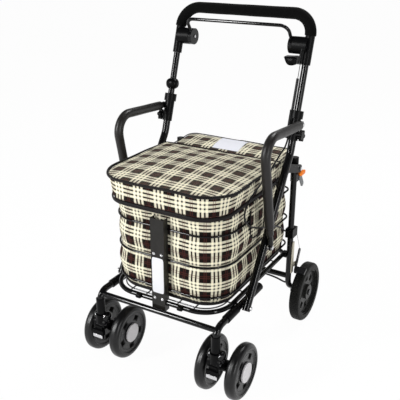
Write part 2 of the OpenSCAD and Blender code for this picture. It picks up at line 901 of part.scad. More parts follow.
module front_upright() {
    upright_h = upright_top_z - upright_low_z;
    color("#2f3034")
        difference() {
            translate([-upright_w / 2, upright_front_y, upright_low_z])
                cube([upright_w, upright_depth, upright_h]);
            translate([upright_t - upright_w / 2, upright_front_y + upright_t, upright_low_z - overrun])
                cube([upright_w - 2 * upright_t, upright_depth, upright_h + 2 * overrun]);
            bar_slots();
            screw_places() {
                translate([0, 0, -overrun])
                    cylinder(h = upright_t + 2 * overrun, d = screw_d + 2 * fit_gap);
                cylinder(h = screw_head_h, d1 = screw_head_d + 2 * fit_gap, d2 = screw_d + 2 * fit_gap);
            }
        }
}

module upright_clamps() {
    front = upright_front_y + upright_t + fit_gap;
    color("#19191b")
        difference() {
            for (z = [ring_z - block_sink, upright_hoop_z - block_sink])
                translate([-block_w / 2, front, z])
                    cube([block_w, hoop_front_y - front, block_h]);
            bar_slots();
            screw_places()
                translate([0, 0, -overrun])
                    cylinder(h = upright_t + screw_l + 2 * overrun, d = screw_d + 2 * fit_gap);
        }
}

// Soft bag, open at the top, with a narrower foot
module bag_plan(front_in, wall) {
    plan(bag_x - front_in - wall, bag_front_y + front_in + wall, bag_rear_y - wall, bag_front_r - wall,
        bag_rear_r - wall);
}

module bag_body() {
    color("#6b5a52")
        difference() {
            union() {
                translate([0, 0, bag_low_z])
                    linear_extrude(bag_foot_h)
                        bag_plan(bag_foot_in, 0);
                translate([0, 0, bag_low_z + bag_foot_h])
                    linear_extrude(bag_top_z - bag_low_z - bag_foot_h)
                        bag_plan(0, 0);
            }
            translate([0, 0, bag_low_z + bag_wall])
                linear_extrude(bag_top_z - bag_low_z)
                    bag_plan(bag_foot_in, bag_wall);
            translate([0, 0, bag_low_z + bag_foot_h + bag_wall])
                linear_extrude(bag_top_z - bag_low_z)
                    bag_plan(0, bag_wall);
        }
}

module rear_flap() {
    flap_x = lid_x - flap_in;
    low = bag_top_z + rest_gap;
    high = seat_z - flap_drop;
    rear = flap_front_y + flap_l;
    color("#7a6a60")
        loft([for (s = flap_shares)
            let (in = s[0] * flap_round)
            raised(outline(flap_x - in, flap_front_y + in, rear - in, 2 * flap_round, flap_edge_r),
                low + s[1] * (high - low))]);
}

module seat_cushion() {
    low = lid_low_z + board_t + fit_gap;
    sides = [for (i = [0:lid_side_rings])
        let (t = i / lid_side_rings, draw = lid_draw * sin(180 * t), z = low + t * (seat_z - low),
            open = (seat_z - z) / lid_h)
        raised(outline(lid_x - lid_taper * open - draw, lid_front_y - lid_flare * open + draw,
            lid_rear_y - draw, lid_front_r, lid_rear_r), z)];
    edge = outline(lid_x, lid_front_y, lid_rear_y, lid_front_r, lid_rear_r);
    mid = [0, (lid_front_y + lid_rear_y) / 2];
    crowns = [for (k = crown_shares)
        raised([for (p = edge) mid + k * (p - mid)], seat_z + lid_crown * (1 - k * k * k))];
    color("#7a6a60")
        loft(concat(sides, crowns));
}

module seat_board() {
    color("#3a3431")
        translate([0, 0, lid_low_z])
            linear_extrude(board_t)
                plan(lid_x - lid_taper - board_in, lid_front_y + board_in, lid_rear_y - board_in,
                    lid_front_r - board_in, lid_rear_r);
}

// Fold joint between the posts and the rear legs
module fold_brackets() {
    root_z = fold_z + fold_plate_rise;
    color("#2a2a2e")
        both()
            difference() {
                plate_x(fold_plate_x, fold_plate_t)
                    strap([low_y(root_z) + fold_plate_lap, root_z], [rear_leg_y, fold_z], fold_plate_w);
                post_solid(post_d + 2 * fit_gap);
                translate([0, rear_leg_y, fold_z])
                    x_rod(post_x, fold_plate_x + fold_plate_t + overrun, fold_pin_d + 2 * fit_gap);
            }
}

module fold_pins() {
    inner = rear_leg_x - rear_leg_d / 2;
    outer = rear_leg_x + rear_leg_d / 2;
    plate_out = fold_plate_x + fold_plate_t;
    color("#c9ccd0")
        both()
            translate([0, rear_leg_y, fold_z]) {
                x_rod(inner - bolt_head_h, plate_out + bolt_head_h, fold_pin_d);
                x_rod(outer + seat_gap, fold_plate_x - fit_gap, shoulder_d);
                x_rod(inner - bolt_head_h, inner - 2 * seat_gap, bolt_head_d);
                x_rod(plate_out + fit_gap, plate_out + bolt_head_h, bolt_head_d);
            }
}

module leg_saddles() {
    inner = ring_x - ring_d / 2 + saddle_wall;
    outer = rear_leg_x + rear_leg_d / 2 - side_gap;
    channel = rear_leg_d + 2 * seat_gap + fit_gap;
    color("#19191b")
        both()
            difference() {
                translate([inner, rear_leg_y - saddle_wall, ring_z - saddle_h / 2])
                    cube([outer - inner, saddle_l, saddle_h]);
                ring_bar(ring_d + 2 * fit_gap);
                translate([rear_leg_x, rear_leg_y, ring_z - saddle_h])
                    cylinder(h = 2 * saddle_h, d = channel);
                translate([rear_leg_x - channel / 2, rear_leg_y - saddle_l, ring_z - saddle_h])
                    cube([channel, saddle_l, 2 * saddle_h]);
            }
}

module bolt_x(x0, x1) {
    x_rod(x0, x1 + bolt_head_h, bolt_d);
    x_rod(x1 + fit_gap, x1 + bolt_head_h, bolt_head_d);
}

module frame_bolts() {
    lug_out = arm_x + arm_lug_t / 2;
    color("#c9ccd0") {
        both() {
            translate([0, arm_top[0], arm_top[1]])
                bolt_x(post_x + post_d / 2 + side_gap, lug_out);
            translate([0, arm_foot[0], arm_foot[1]]) {
                bolt_x(post_x + post_d / 2 - 2 * post_wall, lug_out);
                x_rod(post_x + post_d / 2 + fit_gap, arm_x - arm_lug_t / 2 - fit_gap, spacer_d);
            }
            translate([0, foot_y, front_leg_z]) {
                bolt_x(front_leg_x - front_leg_d / 2 - bolt_head_h, post_x + post_d / 2);
                x_rod(front_leg_x - front_leg_d / 2 - bolt_head_h, front_leg_x - front_leg_d / 2 - fit_gap,
                    bolt_head_d);
            }
        }
        screw_places()
            translate([0, 0, fit_gap]) {
                cylinder(h = screw_head_h, d1 = screw_head_d - 4 * fit_gap, d2 = screw_d - fit_gap);
                cylinder(h = upright_t + screw_l, d = screw_d);
            }
    }
}

module brake_cable_loop() {
    color("#151517")
        cord(cable_route, cable_steps, cable_d, [1, 0, 0]);
}

// Handle that slides in the posts
module handle_steps_run(d, bore, start_s) {
    lead = grip_s - handle_r - start_s;
    on_upper(-post_x, start_s)
        rotate([0, 0, -90])
            pipe_run([[lead, 90, handle_r], [2 * (post_x - handle_r), 90, handle_r], [lead, 0, 0]],
                d, bore);
}

module handle_tube() {
    color("#1b1b1d")
        handle_steps_run(handle_d, handle_d - 2 * handle_wall, handle_in_s);
}

module handle_foam() {
    color("#141416")
        handle_steps_run(grip_foam_d, handle_d + 2 * seat_gap, grip_s - handle_r - foam_lead);
}

module tab_lug() {
    on_upper(0, tab_s)
        difference() {
            translate([tab_pin_x - tab_lug_l + tab_lug_lap, -tab_lug_w / 2, -tab_lug_h / 2])
                cube([drum_out_x - tab_pin_x + tab_lug_l - tab_lug_lap, tab_lug_w, tab_lug_h]);
            translate([tab_pin_x - tab_lug_l, -tab_w / 2 - seat_gap, -tab_lug_h])
                cube([tab_lug_l + tab_pin_in + tab_slot_in, tab_w + 2 * seat_gap, 2 * tab_lug_h]);
            translate([tab_pin_x, tab_lug_w, 0])
                rotate([90, 0, 0])
                    cylinder(h = 2 * tab_lug_w, d = tab_pin_d + 2 * run_gap);
        }
}

module brake_bracket(cabled) {
    difference() {
        union() {
            on_upper(post_x, bracket_s)
                cylinder(h = bracket_l, d = bracket_d);
            on_upper(0, hub_s)
                x_rod(drum_in_x, post_x, drum_d);
            if (cabled)
                on_upper(post_x - guide_in, bracket_s)
                    translate([0, -guide_fore, 0])
                        cylinder(h = bracket_below, d = guide_d);
        }
        on_upper(post_x, bracket_s - overrun)
            cylinder(h = bracket_l + 2 * overrun, d = handle_d + 2 * fit_gap);
        on_upper(0, hub_s)
            x_rod(drum_in_x - overrun, drum_in_x + hub_pin_l + overrun, hub_pin_d + 2 * run_gap);
        if (cabled)
            on_upper(post_x - guide_in, bracket_s - overrun)
                translate([0, -guide_fore, 0])
                    cylinder(h = tab_lug_h, d = wire_d + 2 * fit_gap);
        if (cabled)
            on_upper(0, tab_s)
                translate([tab_pin_x - tab_lug_l, -tab_lug_w / 2, -tab_lug_h / 2])
                    cube([tab_lug_l + tab_pin_in + tab_slot_in, tab_lug_w, tab_lug_h]);
    }
    if (cabled)
        difference() {
            tab_lug();
            on_upper(post_x, bracket_s - overrun)
                cylinder(h = bracket_l, d = handle_d + 2 * fit_gap);
        }
}

module brake_brackets() {
    color("#2a2a2e") {
        brake_bracket(true);
        mirror([1, 0, 0])
            brake_bracket(false);
    }
}

module brake_bar() {
    lead = bar_reach - bar_bend_r;
    color("#111113")
        translate([0, up_y(hub_s), up_z(hub_s)]) {
            translate([-bar_x, 0, 0])
                rotate([bar_lean, 0, 0])
                    rotate([0, 0, -90])
                        tube_run([[lead, 90, bar_bend_r], [2 * (bar_x - bar_bend_r), 90, bar_bend_r],
                            [lead, 0, 0]], brake_bar_d);
            both() {
                x_rod(drum_in_x - side_gap - hub_disc_t, drum_in_x - side_gap, drum_d);
                x_rod(bar_x, drum_in_x + hub_pin_l, hub_pin_d);
                x_rod(drum_in_x - side_gap - hub_disc_t - hub_screw_h, bar_x, hub_screw_d);
            }
        }
}

module parking_tab() {
    color("#19191b")
        on_upper(tab_pin_x, tab_s) {
            translate([tab_pin_in - tab_l + overrun, -tab_w / 2, -tab_t / 2])
                cube([tab_l - overrun, tab_w, tab_t]);
            translate([tab_pin_in - tab_l, -paddle_w / 2, -paddle_t / 2])
                cube([paddle_l, paddle_w, paddle_t]);
            translate([0, tab_lug_w / 2, 0])
                rotate([90, 0, 0])
                    cylinder(h = tab_lug_w, d = tab_pin_d);
        }
}

module cane_clip() {
    color("#19191b")
        on_upper(-post_x, clip_s)
            difference() {
                for (side = [-1, 1])
                    translate([side * clip_lobe_x, 0, 0])
                        cylinder(h = clip_h, d = clip_lobe_d);
                translate([0, 0, -overrun])
                    cylinder(h = clip_h + 2 * overrun, d = handle_d + 2 * fit_gap);
            }
}

module brake_cable_upper() {
    color("#151517")
        on_upper(post_x - guide_in, 0)
            translate([0, -guide_fore, housing_low_s]) {
                cylinder(h = housing_top_s - housing_low_s, d = cable_housing_d);
                cylinder(h = bracket_s + tab_lug_h / 2 - housing_low_s, d = wire_d);
            }
}

// Rear frame
module rear_leg_solid(d) {
    translate([rear_leg_x, rear_leg_y, fold_z + rear_leg_top])
        rotate([0, 180, 0])
            tube_run(rear_steps, d);
}

module rear_legs() {
    color("#1b1b1d")
        both()
            difference() {
                union() {
                    translate([rear_leg_x, rear_leg_y, fold_z + rear_leg_top])
                        rotate([0, 180, 0])
                            pipe_run(rear_steps, rear_leg_d, rear_leg_d - 2 * leg_wall);
                    translate([0, rear_axle_y, rear_r])
                        x_rod(rear_leg_x - rear_leg_d / 2, rear_wheel_x - rear_wheel_w / 2 - spacer_out,
                            axle_boss_d);
                }
                translate([0, rear_axle_y, rear_r])
                    x_rod(rear_leg_x - rear_leg_d, rear_wheel_x, rear_axle_d + 2 * fit_gap);
                translate([0, rear_leg_y, fold_z])
                    x_rod(rear_leg_x - rear_leg_d, rear_leg_x + rear_leg_d, fold_pin_d + 2 * run_gap);
            }
}

module rear_cross_tube() {
    color("#1b1b1d")
        difference() {
            translate([0, rear_leg_y, cross_tube_z])
                x_rod(-rear_leg_x, rear_leg_x, cross_tube_d);
            both()
                rear_leg_solid(rear_leg_d + 2 * fit_gap);
        }
}

module rear_leg_fittings() {
    cap_low = fold_z + cap_gap;
    color("#19191b") {
        both()
            difference() {
                translate([rear_leg_x, rear_leg_y, cap_low])
                    cylinder(h = rear_leg_top + cap_top - cap_gap, d = rear_leg_d + 2 * cap_wall);
                translate([rear_leg_x, rear_leg_y, cap_low - overrun])
                    cylinder(h = rear_leg_top - cap_gap + overrun + fit_gap, d = rear_leg_d + 2 * fit_gap);
            }
        difference() {
            translate([rear_leg_x - stop_in, rear_leg_y - stop_fore, stop_low_z])
                cube([2 * stop_in, stop_fore + stop_back, stop_h]);
            rear_leg_solid(rear_leg_d + 2 * fit_gap);
        }
    }
}

module latch_housing() {
    slot_h = release_t + 2 * seat_gap;
    color("#2a2a2e")
        difference() {
            translate([rear_leg_x - housing_in, rear_leg_y - housing_fore, fold_z - housing_low])
                cube([housing_in + rear_leg_d / 2, housing_fore + housing_back,
                    housing_low - housing_top]);
            rear_leg_solid(rear_leg_d + 2 * fit_gap);
            translate([release_x - release_press, release_y - seat_gap, release_z - slot_h / 2])
                cube([release_press + release_in + overrun, release_l + 2 * seat_gap, slot_h]);
            translate([0, lever_y, lever_z])
                x_rod(rear_leg_x, rear_leg_x + rear_leg_d, lever_pin_d + 2 * run_gap);
        }
}

module release_tab() {
    color("#e8641b")
        translate([release_x, release_y, release_z - release_t / 2])
            cube([release_in + release_out, release_l, release_t]);
}

module latch_lever() {
    face = rear_leg_x + rear_leg_d / 2 + 2 * seat_gap;
    color("#8d9094") {
        plate_x(face, lever_t)
            strap([lever_y, lever_z], [lever_y + lever_back, lever_z - lever_fall], lever_w);
        translate([0, lever_y, lever_z])
            x_rod(face - lever_pin_l, face + lever_t / 2, lever_pin_d);
    }
}

module brake_mounts() {
    color("#b7b0a2")
        both() {
            plate_x(mount_x, mount_t) {
                translate([rear_leg_y - mount_w / 2, mount_low_z])
                    square([mount_w, mount_top_z - mount_low_z]);
                strap([rear_leg_y, brake_pin_z + mount_w / 2], [brake_pin_y, brake_pin_z], ear_w);
            }
            translate([0, brake_pin_y, brake_pin_z])
                x_rod(mount_x + mount_t / 2, brake_x + brake_plate_t + side_gap, brake_pin_d);
        }
}

module brake_lever(side) {
    out = [cos(shoe_angle), sin(shoe_angle)];
    across = [-sin(shoe_angle), cos(shoe_angle)] * shoe_l / 2;
    face = [rear_axle_y, rear_r] + (rear_r + brake_gap) * out;
    back = face + shoe_t * out;
    shoe_x = brake_x + brake_plate_t / 2;
    color("#3a3b3f")
        mirror([side > 0 ? 0 : 1, 0, 0])
            difference() {
                union() {
                    plate_x(brake_x, brake_plate_t) {
                        strap([brake_pin_y, brake_pin_z], (face + back) / 2, brake_arm_w);
                        strap([brake_pin_y, brake_pin_z], brake_end, brake_arm_w);
                    }
                    plate_x(shoe_x, rear_wheel_x + shoe_w / 2 - shoe_x)
                        polygon([face - across, back - across, back + across, face + across]);
                }
                translate([0, brake_pin_y, brake_pin_z])
                    x_rod(brake_x - overrun, brake_x + brake_plate_t + overrun, brake_pin_d + 2 * run_gap);
            }
}

module brake_wire() {
    top = [rear_leg_y + stop_back - 2 * wire_d, stop_low_z - fit_gap];
    tip = [brake_end[0], brake_end[1] + brake_arm_w / 2 + side_gap];
    color("#c9ccd0")
        translate([brake_x + brake_plate_t / 2, top[0], top[1]])
            rotate([-atan2(tip[0] - top[0], tip[1] - top[1]), 0, 0])
                cylinder(h = norm(tip - top), d = wire_d);
}

module brake_link_rod() {
    color("#151517")
        cord(link_route, cable_steps - 1, link_d, [0, 0, 1]);
}

module rear_axles() {
    head_x = rear_wheel_x + rear_wheel_w / 2 - hub_in + side_gap;
    color("#c9ccd0")
        both()
            translate([0, rear_axle_y, rear_r]) {
                x_rod(rear_leg_x - rear_leg_d / 2, head_x, rear_axle_d);
                x_rod(head_x, head_x + axle_head_h, axle_head_d);
            }
}

// Wheels turn about X; their sections are drawn as radius and width
module tyre_section(d, w, t, tread_r) {
    translate([d / 2 - t, -w / 2])
        square([t - tread_r, w]);
    translate([d / 2 - tread_r, tread_r - w / 2])
        square([tread_r, w - 2 * tread_r]);
    for (side = [-1, 1])
        translate([d / 2 - tread_r, side * (w / 2 - tread_r)])
            circle(r = tread_r);
}

module tyre(d, w, t, tread_r) {
    rotate([0, 90, 0])
        rotate_extrude()
            tyre_section(d, w, t, tread_r);
}

module rim(d, w, t, gap, hub_d, web_t, lip, axle_d, slot, slots) {
    rim_r = d / 2 - t - gap;
    rotate([0, 90, 0])
        difference() {
            rotate_extrude() {
                translate([axle_d / 2 + run_gap, hub_in - w / 2])
                    square([hub_d / 2 - axle_d / 2 - run_gap, w - 2 * hub_in]);
                translate([axle_d / 2 + run_gap, -web_t / 2])
                    square([rim_r - axle_d / 2 - run_gap, web_t]);
                translate([rim_r - lip, lip - w / 2])
                    square([lip, w - 2 * lip]);
            }
            for (i = [0:slots - 1])
                rotate([0, 0, 360 / slots * i])
                    translate([(hub_d / 2 + rim_r - lip) / 2 - slot[0] / 2, -slot[1] / 2, -web_t])
                        cube([slot[0], slot[1], 2 * web_t]);
        }
}

module rear_tyre(side) {
    color("#2b2b2e")
        translate([side * rear_wheel_x, rear_axle_y, rear_r])
            tyre(rear_wheel_d, rear_wheel_w, rear_tyre_t, rear_tread_r);
}

module rear_rim(side) {
    color("#6d7075")
        translate([side * rear_wheel_x, rear_axle_y, rear_r])
            rim(rear_wheel_d, rear_wheel_w, rear_tyre_t, fit_gap, rear_hub_d, rear_web_t, rear_lip,
                rear_axle_d, [rear_slot_l, rear_slot_w], rear_slots);
}

module front_wheel(side, place) {
    color("#1d1d20")
        translate([side * front_leg_x + place * wheel_off, front_axle_y, front_r]) {
            tyre(front_wheel_d, front_wheel_w, front_tyre_t, front_tread_r);
            rim(front_wheel_d, front_wheel_w, front_tyre_t, -overrun, front_hub_d, front_web_t, front_lip,
                front_axle_d, [front_slot_l, front_slot_w], front_slots);
        }
}

module hub_cap(side, place) {
    face = front_wheel_w / 2 - hub_in + fit_gap;
    color("#c4c7c9")
        translate([side * front_leg_x + place * wheel_off, front_axle_y, front_r])
            rotate([0, place > 0 ? 90 : -90, 0])
                translate([0, 0, face])
                    cylinder(h = hub_cap_h, d = hub_cap_d);
}

// Caster heads with their swivel-lock pedals
module on_caster(side) {
    translate([side * front_leg_x, stem_y, 0])
        children();
}

module caster_head(side) {
    color("#19191b")
        on_caster(side)
            difference() {
                union() {
                    translate([0, 0, head_low_z])
                        cylinder(h = head_top_z - head_low_z, d = head_boss_d);
                    translate([0, 0, head_top_z - overrun])
                        cylinder(h = leg_low_z - head_top_z, d = stem_d);
                    plate_x(-head_w / 2, head_w) {
                        strap([0, head_neck_z], [caster_trail, front_r], neck_w);
                        translate([caster_trail, front_r])
                            circle(d = axle_boss);
                        translate([-pedal_fore, pedal_z])
                            circle(d = ear_d);
                    }
                    translate([0, caster_trail, front_r])
                        x_rod(front_wheel_w / 2 + spacer_out - hub_in - wheel_off,
                            wheel_off - front_wheel_w / 2 - spacer_out + hub_in, spacer_rod_d);
                }
                translate([0, caster_trail, front_r])
                    x_rod(-wheel_off, wheel_off, front_axle_d + 2 * fit_gap);
                translate([-pedal_w / 2 - pedal_gap, -head_boss_d, pedal_z - pedal_l - pedal_top_d])
                    cube([pedal_w + 2 * pedal_gap, head_boss_d - pedal_gap,
                        pedal_l + pedal_room_share * pedal_top_d + pedal_gap]);
                translate([0, -pedal_fore, pedal_z])
                    x_rod(-head_w, head_w, pedal_pin_d + 2 * run_gap);
            }
}

module caster_pedal(side) {
    foot_y0 = pedal_top_d / 2 - pedal_t + foot_lap - foot_t;
    rib_w = foot_w - 2 * pedal_rib_h;
    color("#232326")
        on_caster(side)
            translate([0, -pedal_fore, pedal_z]) {
                x_rod(-pedal_w / 2, pedal_w / 2, pedal_top_d);
                x_rod(pedal_gap - head_w / 2, head_w / 2 - pedal_gap, pedal_pin_d);
                translate([-pedal_w / 2, pedal_top_d / 2 - pedal_t, -pedal_l])
                    cube([pedal_w, pedal_t - pedal_gap, pedal_l]);
                translate([-foot_w / 2, foot_y0, -pedal_l - foot_below])
                    cube([foot_w, foot_t, foot_h]);
                for (share = pedal_rib_shares)
                    translate([-rib_w / 2, foot_y0 - pedal_rib_t, share * foot_h - pedal_l - foot_below])
                        cube([rib_w, foot_t / 2, pedal_rib_h]);
            }
}

module caster_axle(side) {
    reach = wheel_off + front_wheel_w / 2 - hub_in;
    color("#c9ccd0")
        on_caster(side) {
            translate([0, caster_trail, front_r])
                x_rod(-reach, reach, front_axle_d);
            for (place = [-1, 1])
                translate([0, place * head_screw_off, head_neck_z])
                    x_rod(head_w / 2 + fit_gap, head_w / 2 + screw_head_h, screw_head_d);
        }
}

side_posts();
front_legs();
front_crossbar();
leg_sleeves();
clamp_sleeves();
armrest_tubes();
armrest_foam();
base_ring();
floor_grid();
wire_basket();
front_upright();
upright_clamps();
bag_body();
rear_flap();
fold_brackets();
fold_pins();
frame_bolts();
leg_saddles();
brake_cable_loop();
handle_tube();
handle_foam();
brake_brackets();
cane_clip();
brake_cable_upper();
brake_bar();
parking_tab();
height_knob(-1);  // left_height_knob
height_knob(1);  // right_height_knob
seat_cushion();
seat_board();
rear_legs();
rear_cross_tube();
rear_leg_fittings();
latch_housing();
brake_mounts();
brake_link_rod();
rear_axles();
brake_wire();
latch_lever();
release_tab();
brake_lever(-1);  // left_brake_lever
brake_lever(1);  // right_brake_lever
rear_tyre(-1);  // left_rear_tyre
rear_tyre(1);  // right_rear_tyre
rear_rim(-1);  // left_rear_rim
rear_rim(1);  // right_rear_rim
caster_head(-1);  // left_caster_head
caster_head(1);  // right_caster_head
caster_pedal(-1);  // left_caster_pedal
caster_pedal(1);  // right_caster_pedal
caster_axle(-1);  // left_caster_axle
caster_axle(1);  // right_caster_axle
front_wheel(-1, -1);  // left_outer_front_wheel
front_wheel(-1, 1);  // left_inner_front_wheel
front_wheel(1, -1);  // right_inner_front_wheel
front_wheel(1, 1);  // right_outer_front_wheel
hub_cap(-1, -1);  // left_outer_hub_cap
hub_cap(-1, 1);  // left_inner_hub_cap
hub_cap(1, -1);  // right_inner_hub_cap
hub_cap(1, 1);  // right_outer_hub_cap
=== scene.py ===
"""Dress for a four-wheeled walker: padded seat lid, plaid bag in a wire basket, foam grips and light."""
import math

import bpy
import numpy as np
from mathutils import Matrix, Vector
from mathutils.bvhtree import BVHTree


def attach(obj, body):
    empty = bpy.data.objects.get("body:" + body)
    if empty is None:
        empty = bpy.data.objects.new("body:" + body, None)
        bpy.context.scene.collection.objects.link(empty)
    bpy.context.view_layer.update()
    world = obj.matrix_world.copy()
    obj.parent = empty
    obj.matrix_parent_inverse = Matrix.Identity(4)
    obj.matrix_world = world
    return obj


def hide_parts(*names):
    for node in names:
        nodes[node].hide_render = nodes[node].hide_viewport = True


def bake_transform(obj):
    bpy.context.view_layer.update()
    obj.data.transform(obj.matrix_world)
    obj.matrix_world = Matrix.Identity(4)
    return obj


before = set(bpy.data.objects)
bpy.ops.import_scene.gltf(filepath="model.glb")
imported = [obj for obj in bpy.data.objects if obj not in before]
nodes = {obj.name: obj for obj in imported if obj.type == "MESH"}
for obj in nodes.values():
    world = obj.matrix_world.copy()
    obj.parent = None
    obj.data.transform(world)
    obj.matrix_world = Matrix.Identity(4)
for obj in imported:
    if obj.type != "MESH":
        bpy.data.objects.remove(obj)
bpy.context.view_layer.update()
scene = bpy.context.scene

MM = 0.001
UP = np.array([0.0, 0.0, 1.0])
SIDE = np.array([1.0, 0.0, 0.0])
AHEAD = np.array([0.0, -1.0, 0.0])
SIDES = ((-1.0, "left"), (1.0, "right"))

# Sizes shared with the solids, in millimetres
POST_X = 218.0
BEND = np.array([91.0, 627.0])
RAKE = math.radians(17.8)
LOWER_LEAN = math.atan2(7.0, 24.0)
GRIP_TOP = 1007.0
GRIP_S = (GRIP_TOP - BEND[1]) / math.cos(RAKE)
GRIP_R = 60.0
HUB_S = GRIP_S - 90.0
ARM_X = 238.8
ARM_S = 85.0
ARM_REACH = np.array([-257.0, 19.0])
ARM_BEND_R = 50.0
HOOPS = (293.0, 386.0, 479.0)
BAG = dict(half_w=184.0, front=-268.8, rear=184.0, front_r=91.0, rear_r=50.0)
BAG_LOW = 261.0
BAG_TOP = 528.6
LID = dict(half_w=205.0, front=-299.0, rear=67.0, front_r=97.0, rear_r=12.0)
LID_LOW = 541.0
LID_EDGE = 603.0
LID_CROWN = 9.0
FLAP = dict(half_w=188.0, front=69.5, rear=200.5, front_r=14.0, rear_r=30.0)
FLAP_LOW = 531.0
FLAP_EDGE = 592.0
FLAP_RISE = 10.0
UPRIGHT_FRONT = -292.0
STEM_X = 196.0
FRONT_AXLE = np.array([-247.0, 82.5])
REAR_AXLE = np.array([229.5, 100.0])
CABLE_D = 5.0
CABLE_ROUTE = [
    (208, 91, 675), (208, 87, 662), (208.5, 70, 647), (209, 40, 636), (210, 5, 622),
    (210, -32, 606), (210, -70, 593), (210, -107, 581), (210, -145, 568), (209.5, -170, 552),
    (208, -181, 530), (204, -165, 500), (200, -124, 469), (199, -73, 445), (199, -32, 430),
    (199, 19, 412), (198, 55, 399), (197, 93, 381), (197, 130, 355), (197, 148, 345),
]
WIRE_ENDS = [(220.4, 184.0, 321.9), (220.4, 212.0, 263.5)]
WIRE_D = 2.0

# Cloth and foam: lengths in millimetres, counts, and the cloth's own settings
BAG_STEPS = 300
BAG_SWELL = 6.2
BAG_SWELL_GAP = 80.0
BAG_TUCK = 13.0
BAG_TUCK_H = 34.0
BAG_FLAT_HALF = 24.0
BAG_FLAT_FADE = 26.0
BAG_CREASE = 2.2
CREASES = ((0.32, 0.021, 0.034, 0.3), (0.26, 0.034, -0.021, 1.9), (0.2, 0.013, 0.055, 4.1),
           (0.13, 0.057, 0.012, 2.6), (0.09, 0.071, -0.043, 5.2))
POCKET_FOOT = (190.6, -62.0, 417.0)
POCKET_W = 94.0
POCKET_H = 92.0
POCKET_BULGE = 2.4
BOX_INSET = 3.0
BOX_SPACING = 5.0
HELD_BAND = 4.0
HELD_ABOVE = 0.8
LID_TAPER = 13.0
LID_FLARE = -3.0
FLAP_LIFT = 8.0
PATCH_MIDDLE = (-8.0, 143.0)
PATCH_HALF = (45.0, 44.0)
PATCH_STEPS = 30
PATCH_SLANT = 0.12
ABOVE_ALL = 900.0
GRIP_FOAM_R = 16.8
ARM_FOAM_R = 13.4
ARM_FOAM_START = 20.0
ARM_FOAM_SHORT = 68.0
CUFF_R = 11.0
CUFF_L = 24.0
CLOTH = dict(
    quality=5, mass=0.25, tension_stiffness=12.0, compression_stiffness=12.0, bending_stiffness=0.6,
    vertex_group_mass="held", use_pressure=True, uniform_pressure_force=4.0,
)
CLOTH_FRAMES = 20

# Small fittings, in millimetres
PANEL_HALF = (19.0, 55.0)
PANEL_Z = 340.0
UPRIGHT_SCREWS = [(x, UPRIGHT_FRONT, z) for x in (-12.3, 12.3) for z in (267.0, 406.0)]
GRID_CLIPS = [(x, -284.6, 254.5) for x in (-70.0, 70.0)]
HUB_SCREW_X = 161.4
STRIP_YZ = (-333.2, 100.0)
SHOULDER = (14.5, -304.0, 157.0)
SHOULDER_HALF = (12.5, 17.0, 14.0)
STUD = (15.0, -317.0, 164.5)
STUD_AXIS = (0.0, -0.75, 0.66)
RELEASE_MIDDLE = (224.2, 183.0, 536.4)
RELEASE_HALF = (4.4, 20.5, 7.0)
CANE_CLIP_Z = 775.0
CANE_CLIP_HALF = (20.0, 18.0, 17.5)
TAB_MIDDLE = (174.0, 188.6, 879.0)
TAB_OUTLINE = [(153.5, 890.0), (159.5, 876.0), (166.5, 867.5), (176.0, 865.5), (186.0, 867.0),
               (192.5, 871.5), (194.0, 880.0), (192.5, 888.5), (187.0, 891.5), (171.0, 890.5)]
TAB_DEPTH = 32.6


def tone(red, green, blue):
    """A colour as it is seen, 0 to 255, as the linear values that a shader takes."""
    seen = np.array([red, green, blue]) / 255.0
    linear = np.where(seen <= 0.04045, seen / 12.92, ((seen + 0.055) / 1.055) ** 2.4)
    return (*linear.tolist(), 1.0)


def times(colour, share):
    """A colour made paler or darker by a share, and never brighter than white."""
    return (*(min(1.0, share * c) for c in colour[:3]), 1.0)


class Wire:
    """A shader output that takes part in sums: each operator adds one Math node."""

    def __init__(self, shader, socket):
        self.shader = shader
        self.socket = socket

    def __add__(self, other):
        return self.shader.math("ADD", self, other)

    def __sub__(self, other):
        return self.shader.math("SUBTRACT", self, other)

    def __rsub__(self, other):
        return self.shader.math("SUBTRACT", other, self)

    def __mul__(self, other):
        return self.shader.math("MULTIPLY", self, other)

    def __truediv__(self, other):
        return self.shader.math("DIVIDE", self, other)

    def __abs__(self):
        return self.shader.math("ABSOLUTE", self)

    __radd__ = __add__
    __rmul__ = __mul__


class Shader:
    """A tree of shader nodes, and the one method through which every node is added to it."""

    def __init__(self, tree):
        self.tree = tree

    def feed(self, socket, value):
        """Sets a socket to a plain value, or links a wire to it."""
        if isinstance(value, Wire):
            self.tree.links.new(value.socket, socket)
        else:
            socket.default_value = value

    def node(self, kind, settings=None, inputs=None, output=0):
        """Adds a node of a kind: its settings first, then its sockets. Several outputs come as a list."""
        made = self.tree.nodes.new("ShaderNode" + kind)
        for key, value in (settings or {}).items():
            setattr(made, key, value)
        for key, value in (inputs or {}).items():
            self.feed(made.inputs[key], value)
        if isinstance(output, tuple):
            return [Wire(self, made.outputs[key]) for key in output]
        return Wire(self, made.outputs[output])

    def math(self, operation, *values):
        return self.node("Math", {"operation": operation}, dict(enumerate(values)))

    def span(self, value, low, high, to_low=0.0, to_high=1.0):
        """A value carried from one range to another, held at its ends."""
        inputs = {"Value": value, "From Min": low, "From Max": high, "To Min": to_low, "To Max": to_high}
        return self.node("MapRange", {"clamp": True}, inputs)


